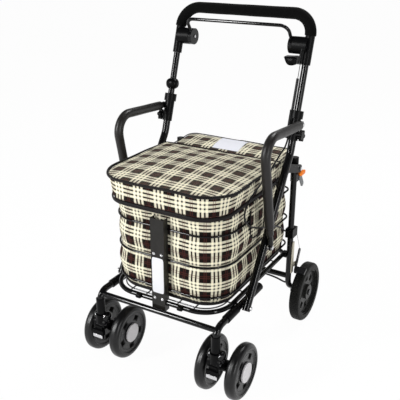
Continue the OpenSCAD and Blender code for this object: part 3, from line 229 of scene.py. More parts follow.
class Finish(Shader):
    """One material: its surface shader, and the nodes that finishes share."""

    def __init__(self, name, **fixed):
        self.material = bpy.data.materials.new(name)
        self.material.use_nodes = True
        super().__init__(self.material.node_tree)
        self.surface = self.tree.nodes["Principled BSDF"]
        self.put(**fixed)

    def put(self, **inputs):
        """Feeds the shader's sockets, with plain values or with what changes over the surface."""
        for key, value in inputs.items():
            self.feed(self.surface.inputs[key.replace("_", " ")], value)

    def place(self):
        return self.node("TexCoord", output="Object")

    def noise(self, scale, detail=2.0, rough=0.5, stretch=None):
        """Cloudy noise on the piece's own coordinates, about 0.5 on the average."""
        where = self.place()
        if stretch:
            where = self.node("Mapping", None, {"Vector": where, "Scale": stretch})
        inputs = {"Vector": where, "Scale": scale, "Detail": detail, "Roughness": rough}
        return self.node("TexNoise", {"noise_dimensions": "3D"}, inputs)

    def mix(self, share, first, second):
        """A colour between two by a share."""
        inputs = {"Factor": share, 6: first, 7: second}
        return self.node("Mix", {"data_type": "RGBA"}, inputs, 2)

    def bump(self, height, distance):
        return self.node("Bump", None, {"Height": height, "Distance": distance, "Strength": 1.0})


def painted(name, colour, gloss, peel=0.00002):
    """Sprayed steel: a coat with a faint orange peel and a haze of fine scuffs."""
    finish = Finish(name, Coat_Weight=0.44, Coat_Roughness=0.04, IOR=1.5, Specular_IOR_Level=0.05)
    haze = finish.noise(38.0, 4.0, 0.62)
    scuff = finish.span(finish.noise(260.0, 3.0, 0.7, (1.0, 1.0, 0.18)), 0.62, 0.8)
    finish.put(
        Base_Color=finish.mix(finish.span(haze, 0.3, 0.8), colour, times(colour, 1.5)),
        Roughness=finish.span(haze, 0.25, 0.8, gloss, gloss + 0.12) + scuff * 0.08,
        Normal=finish.bump(finish.noise(900.0, 2.0), peel),
    )
    return finish.material


def moulded(name, colour, rough, grain=0.00006, scale=1500.0, worn=1.35, shine=0.2):
    """Moulded plastic: an even pebble grain with slightly paler rubbed places."""
    finish = Finish(name, IOR=1.48, Specular_IOR_Level=shine)
    rub = finish.span(finish.noise(30.0, 5.0, 0.6), 0.45, 0.8)
    pebble = finish.noise(scale, 2.0, 0.55)
    finish.put(
        Base_Color=finish.mix(rub, colour, times(colour, worn)),
        Roughness=finish.span(pebble, 0.3, 0.7, rough - 0.06, rough + 0.08) - rub * 0.06,
        Normal=finish.bump(pebble, grain),
    )
    return finish.material


def foam(name, colour, rough, pore=0.00025, shine=0.15):
    """Closed-cell foam: fine pores, a soft mottle and a little sheen."""
    finish = Finish(name, Sheen_Weight=0.05, Sheen_Roughness=0.4, IOR=1.4, Specular_IOR_Level=shine)
    cells = finish.node("TexVoronoi", {"feature": "F1"}, {"Vector": finish.place(), "Scale": 900.0})
    mottle = finish.span(finish.noise(60.0, 4.0, 0.6), 0.3, 0.75)
    finish.put(
        Base_Color=finish.mix(mottle, colour, times(colour, 1.4)),
        Roughness=finish.span(mottle, 0.0, 1.0, rough, rough + 0.1),
        Normal=finish.bump(cells + finish.noise(350.0, 3.0) * 0.8, pore),
    )
    return finish.material


def bare_metal(name, colour, rough):
    """Plated or bare metal: fine brushing along one way and faint dull spots."""
    finish = Finish(name, Metallic=1.0)
    lines = finish.noise(1400.0, 2.0, 0.5, (1.0, 1.0, 0.1))
    spots = finish.span(finish.noise(90.0, 4.0, 0.65), 0.55, 0.8)
    finish.put(
        Base_Color=finish.mix(spots, colour, times(colour, 0.72)),
        Roughness=finish.span(lines, 0.3, 0.7, rough, rough + 0.12) + spots * 0.12,
        Normal=finish.bump(lines, 0.00001),
    )
    return finish.material


def round_axle(finish, centre):
    """The turn about an axle along X, and the distance from it in metres."""
    spot = {"Vector": finish.place(), "Location": (0.0, -centre[0] * MM, -centre[1] * MM)}
    moved = finish.node("Mapping", None, spot)
    y, z = finish.node("SeparateXYZ", None, {"Vector": moved}, ("Y", "Z"))
    return finish.math("ARCTAN2", z, y), finish.math("SQRT", y * y + z * z)


def rubber(name, colour, rough, centre, ribs):
    """Tyre rubber: dusty, with cross ribs on its tread counted round the wheel's own axle."""
    finish = Finish(name, IOR=1.45, Specular_IOR_Level=0.1)
    dust = finish.span(finish.noise(45.0, 5.0, 0.62), 0.42, 0.78)
    turn, far = round_axle(finish, centre)
    wave = finish.span(finish.math("SINE", turn * float(ribs)), -0.3, 0.3)
    height = finish.noise(1100.0, 2.0) * 0.2 + wave * finish.span(far, 0.093, 0.096)
    finish.put(
        Base_Color=finish.mix(dust, colour, times(colour, 1.7)),
        Roughness=finish.span(dust, 0.0, 1.0, rough, rough + 0.15),
        Normal=finish.bump(height, 0.0006),
    )
    return finish.material


def disc_wheel(name, tyre, disc, centre, seam, slots, slot_r):
    """A wheel moulded in one: a satin disc inside a seam at a distance from its axle, a soft tyre
    outside it, fine moulded rings, and round each of its slots a sunk margin with painted shade, near
    black."""
    finish = Finish(name, IOR=1.5, Specular_IOR_Level=0.34)
    turn, far = round_axle(finish, centre)
    outer = finish.span(far, seam - 0.0008, seam + 0.0008)
    rings = finish.span(abs(far - seam), 0.0006, 0.0022, -1.0, 0.0)
    rings = rings + finish.span(abs(far - (seam + 0.007)), 0.0006, 0.0018, 0.8, 0.0)
    rings = rings + finish.span(abs(far - (seam - 0.009)), 0.0006, 0.0016, 0.5, 0.0)
    rub = finish.span(finish.noise(34.0, 5.0, 0.6), 0.4, 0.8)
    cell = 2 * math.pi / slots
    aside = abs(finish.math("FRACT", turn / cell + 0.75) - 0.5) * far * cell
    # Painted shade: the margin round each slot is sunk by the bump and coloured near black, as the shade
    # of a recess.
    sunk = finish.span(aside, 0.0105, 0.0125, 1.0, 0.0)
    sunk = sunk * finish.span(abs(far - slot_r), 0.0078, 0.0096, 1.0, 0.0)
    colour = finish.mix(sunk * 0.9, finish.mix(outer, disc, tyre), tone(2, 2, 2))
    finish.put(
        Base_Color=finish.mix(rub * (0.5 - sunk * 0.5), colour, times(disc, 1.6)),
        Roughness=finish.span(outer, 0.0, 1.0, 0.26, 0.3) + rub * 0.08 + sunk * 0.6,
        Normal=finish.bump(finish.noise(900.0, 2.0) * 0.04 + rings - sunk * 0.5, 0.003),
    )
    return finish.material


CREAM = tone(255, 249, 222)
EARTH = tone(14, 9, 7)
MAROON = tone(92, 38, 34)
STRIPE_SHARES = (0.108, 0.076)
STRIPE_BLUR = 0.012
YARN = 0.0011


def stripes(finish, along):
    """Share of cream at a place in one repeat: three soft-edged bars round the repeat's middle."""
    bar, gap = STRIPE_SHARES
    edge = (bar / 2 - STRIPE_BLUR, bar / 2 + STRIPE_BLUR, 1.0, 0.0)
    from_mid = abs(finish.math("FRACT", along + 0.5) - 0.5)
    mid_bar = finish.span(from_mid, *edge)
    side_bar = finish.span(abs(from_mid - (bar + gap)), *edge)
    return finish.math("MAXIMUM", mid_bar, side_bar)


def hairlines(finish, along):
    """Share of maroon at a place in one repeat: two thin lines in the middle of the dark ground."""
    from_ground = abs(finish.math("FRACT", along) - 0.5)
    return finish.span(abs(from_ground - 0.045), 0.012, 0.026, 1.0, 0.0)


def plaid(name, pitch, start_u, start_v, sheen=0.03, pale=0.0):
    """Woven tartan on the piece's weave map, in metres: cream triple bars and maroon hairlines both ways
    on a dark ground; where bars cross the cream is full, elsewhere it mixes with the ground."""
    finish = Finish(name, Sheen_Weight=sheen, Sheen_Roughness=0.45, IOR=1.45, Specular_IOR_Level=0.1)
    weave_map = finish.node("UVMap", {"uv_map": "weave"})
    u, v = finish.node("SeparateXYZ", None, {"Vector": weave_map}, ("X", "Y"))
    wander = finish.span(finish.noise(26.0, 2.0), 0.2, 0.8, -0.012, 0.012)
    along_u = (u - start_u * MM) / (pitch * MM) + wander
    along_v = (v - start_v * MM) / (pitch * MM) + wander
    warp = stripes(finish, along_u)
    weft = stripes(finish, along_v)
    cover = finish.math("MAXIMUM", warp, weft) * (warp * weft * 0.24 + 0.76)
    yarn_turn = 2 * math.pi / YARN
    weave = finish.math("SINE", u * yarn_turn) * finish.math("SINE", v * yarn_turn)
    line = finish.math("MAXIMUM", hairlines(finish, along_u), hairlines(finish, along_v))
    soil = finish.span(finish.noise(14.0, 4.0, 0.6), 0.3, 0.8)
    ground = finish.mix(line * 0.5, EARTH, MAROON)
    cloth = finish.mix(cover * (1.0 - line * 0.5), ground, CREAM)
    # Dust and painted glare: the soil share is real dust, and the pale share is painted glare that greys
    # the cloth as glare on a lit top does.
    worn = finish.mix(soil * 0.02 + pale, cloth, tone(160, 148, 124))
    shade = finish.mix(finish.span(weave, -1.0, 1.0, 0.12, 0.0), worn, tone(20, 15, 12))
    finish.put(
        Base_Color=shade,
        Roughness=finish.span(soil, 0.0, 1.0, 0.7, 0.84),
        Normal=finish.bump(weave * 0.5 + finish.noise(120.0, 3.0) * 0.8, 0.00035),
    )
    return finish.material


def tape(name, colour):
    """Woven edge tape: fine cross ribs and a soft worn sheen."""
    finish = Finish(name, Sheen_Weight=0.06, Sheen_Roughness=0.4, IOR=1.45, Specular_IOR_Level=0.2)
    ribs = finish.noise(1600.0, 2.0)
    wear = finish.span(finish.noise(50.0, 4.0, 0.6), 0.4, 0.8)
    finish.put(
        Base_Color=finish.mix(wear, colour, times(colour, 1.8)),
        Roughness=finish.span(wear, 0.0, 1.0, 0.55, 0.72),
        Normal=finish.bump(ribs, 0.0002),
    )
    return finish.material


BLACK_PAINT = painted("black_paint", tone(8, 8, 9), 0.13)
BRAKE_GLOSS = painted("brake_gloss", tone(7, 7, 8), 0.08)
DARK_PLASTIC = moulded("dark_plastic", tone(10, 10, 11), 0.34, shine=0.09)
BLACK_PLASTIC = moulded("black_plastic", tone(7, 7, 8), 0.3, shine=0.09)
GRIP_FOAM = foam("grip_foam", tone(10, 10, 10), 0.84, shine=0.06)
ARM_FOAM = foam("arm_foam", tone(22, 20, 19), 0.36, pore=0.00006, shine=0.5)
SATIN_PLATE = painted("satin_plate", tone(27, 26, 24), 0.4, peel=0.00003)
BRIGHT_STEEL = bare_metal("bright_steel", tone(214, 214, 216), 0.2)
ZINC = bare_metal("zinc_plate", tone(196, 190, 172), 0.38)
GRID_WIRE = bare_metal("grid_wire", tone(104, 104, 106), 0.3)
AXLE_STEEL = bare_metal("axle_steel", tone(84, 84, 86), 0.34)
BRAKE_STEEL = painted("brake_steel", tone(24, 24, 26), 0.3)
LATCH_GREY = moulded("latch_grey", tone(62, 63, 65), 0.38)
LEVER_GREY = moulded("lever_grey", tone(112, 114, 116), 0.4)
ORANGE = moulded("release_orange", tone(246, 128, 18), 0.38, worn=1.1)
CABLE_SKIN = moulded("cable_skin", tone(22, 22, 23), 0.34, grain=0.00002)
FRONT_WHEEL = disc_wheel("front_wheel", tone(7, 7, 8), tone(24, 24, 25), FRONT_AXLE,
                         seam=0.0625, slots=5, slot_r=0.0463)
REAR_TYRE = rubber("rear_tyre", tone(25, 25, 24), 0.46, REAR_AXLE, ribs=72)
REAR_RIM = moulded("rear_rim", tone(37, 37, 36), 0.36)
HUB_CAP = moulded("hub_cap", tone(206, 204, 206), 0.3, grain=0.00002, worn=1.05)
BOARD = moulded("seat_board_black", tone(34, 31, 29), 0.7, grain=0.0002, scale=500.0)
TAPE = tape("black_tape", tone(14, 12, 12))
LINING = tape("bag_lining", tone(40, 36, 34))
# The seat plaid's pale share is painted glare, on the tops of the seat lid and of the rear cover.
SEAT_PLAID = plaid("seat_plaid", 63.0, -8.0, -7.0, sheen=0.06, pale=0.08)
SKIRT_PLAID = plaid("skirt_plaid", 66.0, 11.0, 575.0)
BAG_PLAID = plaid("bag_plaid", 60.0, 104.0, 447.0)
BLANK_PATCH = moulded("blank_patch", tone(222, 223, 230), 0.6, grain=0.00008, scale=900.0, worn=1.03)
BLANK_PANEL = moulded("blank_panel", tone(212, 213, 217), 0.36, grain=0.00001, worn=1.02)


def both_sides(*names):
    """Each name with left and with right before it."""
    return [which + "_" + name for name in names for _, which in SIDES]


NODE_FINISHES = (
    (BLACK_PAINT, ["side_posts", "front_legs", "front_crossbar", "armrest_tubes", "base_ring",
                   "wire_basket", "handle_tube", "rear_legs", "rear_cross_tube"]),
    (DARK_PLASTIC, ["leg_sleeves", "clamp_sleeves", "fold_brackets", "brake_brackets"]),
    (BLACK_PLASTIC, ["upright_clamps", "leg_saddles", "cane_clip", "parking_tab", "rear_leg_fittings",
                     *both_sides("height_knob", "caster_head", "caster_pedal")]),
    (BRIGHT_STEEL, ["fold_pins", "frame_bolts", "brake_wire", *both_sides("caster_axle")]),
    (CABLE_SKIN, ["brake_cable_loop", "brake_cable_upper", "brake_link_rod"]),
    (TAPE, ["rear_flap", "seat_cushion"]),
    (BRAKE_STEEL, both_sides("brake_lever")),
    (REAR_TYRE, both_sides("rear_tyre")),
    (REAR_RIM, both_sides("rear_rim")),
    (FRONT_WHEEL, both_sides("outer_front_wheel", "inner_front_wheel")),
    (HUB_CAP, both_sides("outer_hub_cap", "inner_hub_cap")),
    (ARM_FOAM, ["armrest_foam"]),
    (GRID_WIRE, ["floor_grid"]),
    (SATIN_PLATE, ["front_upright"]),
    (LINING, ["bag_body"]),
    (GRIP_FOAM, ["handle_foam"]),
    (BRAKE_GLOSS, ["brake_bar"]),
    (BOARD, ["seat_board"]),
    (LATCH_GREY, ["latch_housing"]),
    (ZINC, ["brake_mounts"]),
    (AXLE_STEEL, ["rear_axles"]),
    (LEVER_GREY, ["latch_lever"]),
    (ORANGE, ["release_tab"]),
)
for material, node_names in NODE_FINISHES:
    for node_name in node_names:
        slots = nodes[node_name].data.materials
        slots.clear()
        slots.append(material)


def grid_faces(rows, cols, close_rows=False, close_cols=True):
    """Four-sided faces of a grid of points, each from a point to its next, upper next and upper one."""
    whole_rows = rows if close_rows else rows - 1
    whole_cols = cols if close_cols else cols - 1
    i, j = np.mgrid[:whole_rows, :whole_cols]
    up = (i + 1) % rows
    on = (j + 1) % cols
    return np.stack([i * cols + j, i * cols + on, up * cols + on, up * cols + j], -1).reshape(-1, 4)


def capped(points, rows, cols):
    """Faces of a grid whose first and last rings are closed by fans to a point at each ring's middle."""
    rings = points.reshape(rows, cols, 3)
    mids = np.stack([rings[0].mean(0), rings[-1].mean(0)])
    j = np.arange(cols)
    on = (j + 1) % cols
    first = np.stack([np.full(cols, rows * cols), on, j], -1)
    last = np.stack([np.full(cols, rows * cols + 1), (rows - 1) * cols + j, (rows - 1) * cols + on], -1)
    faces = grid_faces(rows, cols).tolist() + first.tolist() + last.tolist()
    return np.concatenate([points.reshape(-1, 3), mids]), faces


def unit(vectors):
    return vectors / np.linalg.norm(vectors, axis=-1, keepdims=True)


def full_turn(count):
    return np.linspace(0, 2 * np.pi, count, endpoint=False)


def swept(path, radius, steady, sides, closed=False, flat=1.0):
    """A round or oval section carried along a path, with across square to the path and to a steady line:
    each point is the path's plus the radius times (cos a * across + flat * sin a * over)."""
    path = np.asarray(path, float)
    if closed:
        run = np.roll(path, -1, 0) - np.roll(path, 1, 0)
    else:
        run = np.gradient(path, axis=0)
    along = unit(run)
    across = unit(np.cross(along, steady))
    over = np.cross(along, across)
    a = full_turn(sides)[None, :, None]
    r = np.broadcast_to(np.asarray(radius, float), (len(path),))[:, None, None]
    ring = np.cos(a) * across[:, None] + flat * np.sin(a) * over[:, None]
    points = path[:, None] + r * ring
    if closed:
        return points.reshape(-1, 3), grid_faces(len(path), sides, close_rows=True).tolist()
    return capped(points, len(path), sides)


def loose_mesh(name, points, faces):
    """An object from points in millimetres, at the origin and on no body yet."""
    mesh = bpy.data.meshes.new(name)
    mesh.from_pydata((np.asarray(points) * MM).tolist(), [], faces)
    mesh.update()
    made = bpy.data.objects.new(name, mesh)
    scene.collection.objects.link(made)
    return made


def make(name, points, faces, material, body, slot, stands_for=(), weave=None):
    """A smooth piece with a finish, riding on a body if one is given and on none otherwise. A weave map
    has one pair of metres for each face corner."""
    made = loose_mesh(name, points, faces)
    mesh = made.data
    mesh.shade_smooth()
    if weave is not None:
        layer = mesh.uv_layers.new(name="weave")
        layer.data.foreach_set("uv", np.asarray(weave, np.float32).ravel())
    mesh.materials.append(material)
    if body:
        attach(made, body)
    if stands_for:
        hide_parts(*stands_for)
    return made


def modifier(made, kind, **settings):
    added = made.modifiers.new(kind.lower(), kind)
    for key, value in settings.items():
        setattr(added, key, value)
    return added


def upper(s):
    """Places along the posts' upper run, as depth and height."""
    s = np.asarray(s, float)
    return np.stack([BEND[0] + s * math.sin(RAKE), BEND[1] + s * math.cos(RAKE)], -1)


def beside(x, yz):
    """Places of a side view set across, by one distance or by one each."""
    return np.concatenate([np.broadcast_to(x, yz.shape[:-1])[..., None], yz], -1)


def at_height(spots, z):
    """Level places set to a height, or to one each."""
    return np.concatenate([spots, np.broadcast_to(z, spots.shape[:-1])[..., None]], -1)


def evenly(line, count, closed=False):
    """Even places along a line, how far along it each lies, and the line's whole length."""
    walk = np.concatenate([[0.0], np.cumsum(np.linalg.norm(np.diff(line, axis=0), axis=1))])
    s = np.linspace(0, walk[-1], count, endpoint=not closed)
    return np.stack([np.interp(s, walk, part) for part in line.T], -1), s, walk[-1]


def rounded(half_w, front, rear, front_r, rear_r, count):
    """Even places round a level rounded rectangle, from its rear's middle and counter-clockwise from
    above, with each one's outward direction and its walk from the front's middle, minus on the left."""
    quarter = np.linspace(0, np.pi / 2, 60)
    line = [[[0.0, rear]]]
    for x, y, r, start in (
        (rear_r - half_w, rear - rear_r, rear_r, 0.5),
        (front_r - half_w, front + front_r, front_r, 1.0),
        (half_w - front_r, front + front_r, front_r, 1.5),
        (half_w - rear_r, rear - rear_r, rear_r, 2.0),
    ):
        a = start * np.pi + quarter
        line.append(np.stack([x + r * np.cos(a), y + r * np.sin(a)], -1))
    spots, s, whole = evenly(np.concatenate([*line, line[0]]), count, closed=True)
    run = unit(np.roll(spots, -1, 0) - np.roll(spots, 1, 0))
    out = np.stack([run[:, 1], -run[:, 0]], -1)
    return spots, out, s - whole / 2


def smooth(t):
    t = np.clip(t, 0.0, 1.0)
    return t * t * (3 - 2 * t)


def creases(u, z, size):
    """Soft creases of cloth: a fixed sum of slanted waves of several lengths, about one size tall."""
    return size * sum(h * np.sin(u * a + z * b + c) for h, a, b, c in CREASES)


def bag_wall(rows=72):
    """The bag's outer wall: the rounded outline pushed out along its normal. It swells between the hoops
    as a squared sine, lies flat behind the upright, tucks in at its foot and creases."""
    spots, out, walk = rounded(count=BAG_STEPS, **BAG)
    z = BAG_LOW + (BAG_TOP - BAG_LOW) * np.linspace(0, 1, rows)
    marks = np.array([BAG_LOW + 10.0, *HOOPS, BAG_TOP + 24.0])
    span = np.clip(np.searchsorted(marks, z) - 1, 0, len(marks) - 2)
    gap = marks[span + 1] - marks[span]
    loose = np.sin(np.pi * np.clip((z - marks[span]) / gap, 0, 1)) ** 2
    swell = BAG_SWELL * loose * np.minimum(1.0, gap / BAG_SWELL_GAP)
    foot = -BAG_TUCK * (1 - smooth((z - BAG_LOW) / BAG_TUCK_H))
    free = smooth((np.abs(walk) - BAG_FLAT_HALF) / BAG_FLAT_FADE)
    push = foot[:, None] + swell[:, None] * free
    push = push + creases(walk, z[:, None], BAG_CREASE) * loose[:, None] * free
    points = at_height(spots + push[..., None] * out, z[:, None])
    return points, np.stack(np.broadcast_arrays(walk, z[:, None]), -1) * MM


def corner_weave(faces, weave, period):
    """The weave map at each face corner, with a face across the rear seam kept on one side of it."""
    found = weave.reshape(-1, 2)[faces]
    u = found[..., 0]
    over = (u.max(1, keepdims=True) - u) > period / 2
    found[..., 0] = np.where(over, u + period, u)
    return found.reshape(-1, 2)


def sew_tape(name, path, radius, flat, sides=12, body="frame"):
    """Edge tape sewn along a closed path, of an oval section that stands upright."""
    make(name, *swept(path, radius, UP, sides, True, flat), TAPE, body, "plaid")


def make_bag():
    """The bag: its wall, its floor and a fabric thickness inward, with a taped rim and a taped foot."""
    points, weave = bag_wall()
    rows, cols = points.shape[:2]
    walk_l = (weave[0, 1, 0] - weave[0, 0, 0]) * cols
    wall_weave = corner_weave(grid_faces(rows, cols), weave, walk_l)
    middle = points[0].mean(0)
    inward = np.linspace(0.94, 0.02, 8)[:, None]
    floor = middle + (points[0] - middle) * inward[..., None]
    floor[..., 2] = BAG_LOW + 0.4 * np.sin(np.pi * inward)
    both = np.concatenate([floor[::-1], points]).reshape(-1, 3)
    faces = grid_faces(len(floor) + rows, cols)
    cap = np.arange(cols)[::-1]
    floor_weave = both[faces[: len(floor) * cols]][..., :2].reshape(-1, 2) * MM
    cap_weave = both[cap][:, :2] * MM
    weave = np.concatenate([floor_weave, wall_weave, cap_weave])
    faces = faces.tolist() + [cap.tolist()]
    bag = make("plaid_bag", both, faces, BAG_PLAID, "frame", "plaid", ("bag_body",), weave)
    bag.data.materials.append(LINING)
    modifier(bag, "SOLIDIFY", thickness=0.002, offset=-1.0, material_offset=1, material_offset_rim=0)
    spots, out, _ = rounded(count=BAG_STEPS, **BAG)
    sew_tape("bag_rim_tape", at_height(spots - out, BAG_TOP - 2.4), radius=2.4, flat=1.35)
    sew_tape("bag_foot_tape", at_height(spots - 10.5 * out, BAG_LOW + 5.8), radius=3.2, flat=1.5)


def pocket():
    """A flat pocket on the bag's right side: a sheet with a round-cornered foot, bulged as a cosine
    across times a sine upward, and its tape."""
    a, r = np.meshgrid(np.linspace(-1, 1, 40), np.linspace(0, 1, 32))
    x, y, z = POCKET_FOOT
    bulge = POCKET_BULGE * np.cos(a * np.pi / 2) * np.sin(np.pi * np.clip(r * 0.9 + 0.1, 0, 1))
    x = x + bulge + 1.2 * smooth(r)
    y = y + POCKET_W / 2 * a * (1 - 0.12 * (1 - r) ** 3)
    z = z + POCKET_H * r + 10.0 * (1 - r) * a ** 4
    points = np.stack([x, y, z], -1)
    faces = grid_faces(*a.shape, close_cols=False)
    weave = (points[..., 1:].reshape(-1, 2)[faces] * MM).reshape(-1, 2)
    listed = points.reshape(-1, 3)
    sheet = make("bag_pocket", listed, faces.tolist(), BAG_PLAID, "frame", "plaid", (), weave)
    modifier(sheet, "SOLIDIFY", thickness=0.0016, offset=-1.0)
    edge = np.concatenate([points[::-1, 0], points[0, 1:-1], points[:, -1]])
    tape_edge = make("bag_pocket_tape", *swept(edge, 2.2, SIDE, 10), TAPE, "frame", "plaid")


def leaned(spots, out, taper, flare):
    """How far a box's foot lies off its edge: inward on both sides by a taper, in front by a flare."""
    inward = -taper * np.sign(spots[:, 0]) * smooth(np.abs(out[:, 0]))
    return np.stack([inward, flare * np.minimum(out[:, 1], 0)], -1)


def box_form(outline, low, edge, crown, taper, flare, draw, rows=14, count=220):
    """A stuffed box as rings: its side rises from low to the edge, leaning in below and drawn in at its
    middle as a sine; above the edge the outline shrinks by shares k to the middle while it rises by
    crown * (1 - k^3)."""
    spots, out, _ = rounded(count=count, **outline)
    t = np.linspace(0, 1, rows)
    z = low + t * (edge - low)
    below = (edge - z) / (edge - low)
    push = -BOX_INSET - draw * np.sin(np.pi * t)
    lean = leaned(spots, out, taper, flare)
    side = spots + push[:, None, None] * out + below[:, None, None] * lean
    mid = np.array([0.0, (outline["front"] + outline["rear"]) / 2])
    k = np.array([0.985, 0.96, 0.92, 0.86, 0.76, 0.62, 0.45, 0.26, 0.08])[:, None]
    top = mid + k[..., None] * (spots - BOX_INSET * out - mid)
    rings = np.concatenate([at_height(side, z[:, None]), at_height(top, edge + crown * (1 - k ** 3))])
    return capped(rings, len(rings), count)


def corners(mesh):
    """A mesh's points and faces as arrays; its faces have four corners, as a rebuild makes them."""
    points = np.zeros(len(mesh.vertices) * 3, np.float32)
    mesh.vertices.foreach_get("co", points)
    faces = np.zeros(len(mesh.loops), np.int32)
    mesh.loops.foreach_get("vertex_index", faces)
    return points.reshape(-1, 3).astype(float), faces.reshape(-1, 4)


def worked(made):
    """What a loose object's modifiers make of it, as points and faces; the object is then removed."""
    seen = made.evaluated_get(bpy.context.evaluated_depsgraph_get())
    points, faces = corners(seen.to_mesh())
    bpy.data.objects.remove(made)
    return points, faces


def swollen(points, faces, voxel, cap, low, edge):
    """A closed fabric form let swell: rebuilt at an even spacing, blown up as cloth with its low edge
    and its piped top edge held, each point moved no further than the cap, then subdivided once."""
    start = loose_mesh("form", points, faces)
    modifier(start, "REMESH", mode="VOXEL", voxel_size=voxel * MM)
    rest, quads = worked(start)
    cloth = loose_mesh("cloth", rest / MM, quads.tolist())
    held = cloth.vertex_groups.new(name="held")
    z = rest[:, 2]
    piped = (z > (edge - HELD_BAND) * MM) & (z < (edge + HELD_ABOVE) * MM)
    held.add(np.flatnonzero(piped | (z < (low + HELD_BAND) * MM)).tolist(), 1.0, "REPLACE")
    simulation = modifier(cloth, "CLOTH")
    for key, value in CLOTH.items():
        setattr(simulation.settings, key, value)
    simulation.settings.effector_weights.gravity = 0.0
    simulation.collision_settings.use_collision = False
    for moment in range(1, CLOTH_FRAMES + 1):
        scene.frame_set(moment)
    blown, quads = worked(cloth)
    scene.frame_set(1)
    move = blown - rest
    far = np.linalg.norm(move, axis=1, keepdims=True)
    rest = rest + move * np.minimum(1.0, cap * MM / np.maximum(far, 1e-9))
    fine = loose_mesh("fine", rest / MM, quads.tolist())
    modifier(fine, "SUBSURF", levels=1, render_levels=1)
    points, quads = worked(fine)
    return points / MM, quads


def walk_round(spots, turn_rear, half_w, front, rear, front_r, rear_r):
    """Walk from the front's middle to the outline's nearest place: along the front, round the corner,
    along the side and, for faces turned to the rear, along the rear with square corners."""
    ax = np.abs(spots[..., 0])
    y = spots[..., 1]
    corner_x = half_w - front_r
    corner_y = front + front_r
    turn = np.arctan2(np.maximum(ax - corner_x, 0), np.maximum(corner_y - y, 1e-6))
    side = corner_x + front_r * np.pi / 2 + (y - corner_y)
    ahead = np.where(ax <= corner_x, ax, corner_x + front_r * turn)
    walk = np.where(y >= corner_y, side, ahead)
    behind = corner_x + front_r * np.pi / 2 + (rear - corner_y) + half_w - ax
    return np.where(turn_rear, behind, walk)


def box_weave(points, faces, outline, edge):
    """The weave map of a stuffed box and which of its faces are sides: tops and bottoms take width and
    depth, sides take the walk round the outline and the height."""
    found = points[faces]
    normal = unit(np.cross(found[:, 2] - found[:, 0], found[:, 3] - found[:, 1]))
    middle = found.mean(1)
    side = np.abs(normal[:, 2]) < np.where(middle[:, 2] > edge - 9.0, 0.6, 0.8)
    side &= middle[:, 2] < edge + 2.0
    sign = np.where(middle[:, 0] >= 0, 1.0, -1.0)[:, None]
    rear = (normal[:, 1] > 0.75)[:, None]
    walk = sign * walk_round(found, rear, **outline)
    round_map = np.stack([walk, found[..., 2]], -1)
    weave = np.where(side[:, None, None], round_map, found[..., :2])
    return weave.reshape(-1, 2) * MM, side


def raised(points, outline, low, edge, rise):
    """Points of a box tilted up to its rear, each by its share of the depth times that of the height."""
    back = (points[:, 1] - outline["front"]) / (outline["rear"] - outline["front"])
    tall = (points[:, 2] - low) / (edge - low)
    return points + (rise * np.clip(back, 0, 1) * np.clip(tall, 0, 1))[:, None] * UP


def make_box(name, outline, low, edge, crown, taper, flare, draw, cap, body, stands_for, rise=0.0):
    """A plaid stuffed box with its top and its sides cut from the cloth apart."""
    start = box_form(outline, low, edge, crown, taper, flare, draw)
    points, faces = swollen(*start, BOX_SPACING, cap, low, edge)
    weave, side = box_weave(points, faces, outline, edge)
    points = raised(points, outline, low, edge, rise)
    made = make(name, points, faces.tolist(), SEAT_PLAID, body, "plaid", stands_for, weave)
    made.data.materials.append(SKIRT_PLAID)
    made.data.polygons.foreach_set("material_index", side.astype(np.int32))
    return points, faces


def make_lid():
    """The seat lid: a stuffed box, piped round its top edge and taped round its foot."""
    make_box("seat_pad", LID, LID_LOW, LID_EDGE, LID_CROWN, LID_TAPER, LID_FLARE, draw=2.0, cap=6.0,
             body="lid", stands_for=("seat_cushion",))
    spots, out, walk = rounded(count=260, **LID)
    wave = 1.1 * np.sin(walk * 0.017 + 0.6) + 0.7 * np.sin(walk * 0.041)
    edge = at_height(spots - 2.0 * out, LID_EDGE - 0.5 + wave)
    ahead = smooth((LID["rear"] - spots[:, 1]) / 330.0)
    sew_tape("seat_piping", edge, 1.7 + 1.5 * ahead, flat=1.3, sides=14, body="lid")
    foot = spots + leaned(spots, out, LID_TAPER, LID_FLARE) - 3.0 * out
    foot = at_height(foot, LID_LOW - 4.0 + 0.8 * np.sin(walk * 0.023))
    sew_tape("seat_skirt_tape", foot, radius=2.4, flat=2.2, sides=14, body="lid")


def make_flap():
    """The bag's rear cover: a stuffed box that rises to its rear, piped and taped, with a blank patch."""
    low = FLAP_LOW + FLAP_LIFT
    points, faces = make_box("rear_cover", FLAP, low, FLAP_EDGE, crown=4.0, taper=4.0, flare=0.0, draw=1.0,
                             cap=4.0, body="frame", stands_for=("rear_flap",), rise=FLAP_RISE)
    spots, out, walk = rounded(count=200, **FLAP)
    edge = at_height(spots - 2.6 * out, FLAP_EDGE + 0.6 * np.sin(walk * 0.03))
    sew_tape("rear_cover_piping", raised(edge, FLAP, low, FLAP_EDGE, FLAP_RISE), radius=1.4, flat=1.2)
    sew_tape("rear_cover_tape", at_height(spots - 4.0 * out, FLAP_LOW + 5.0), radius=2.6, flat=1.9)
    sew_patch(points, faces)


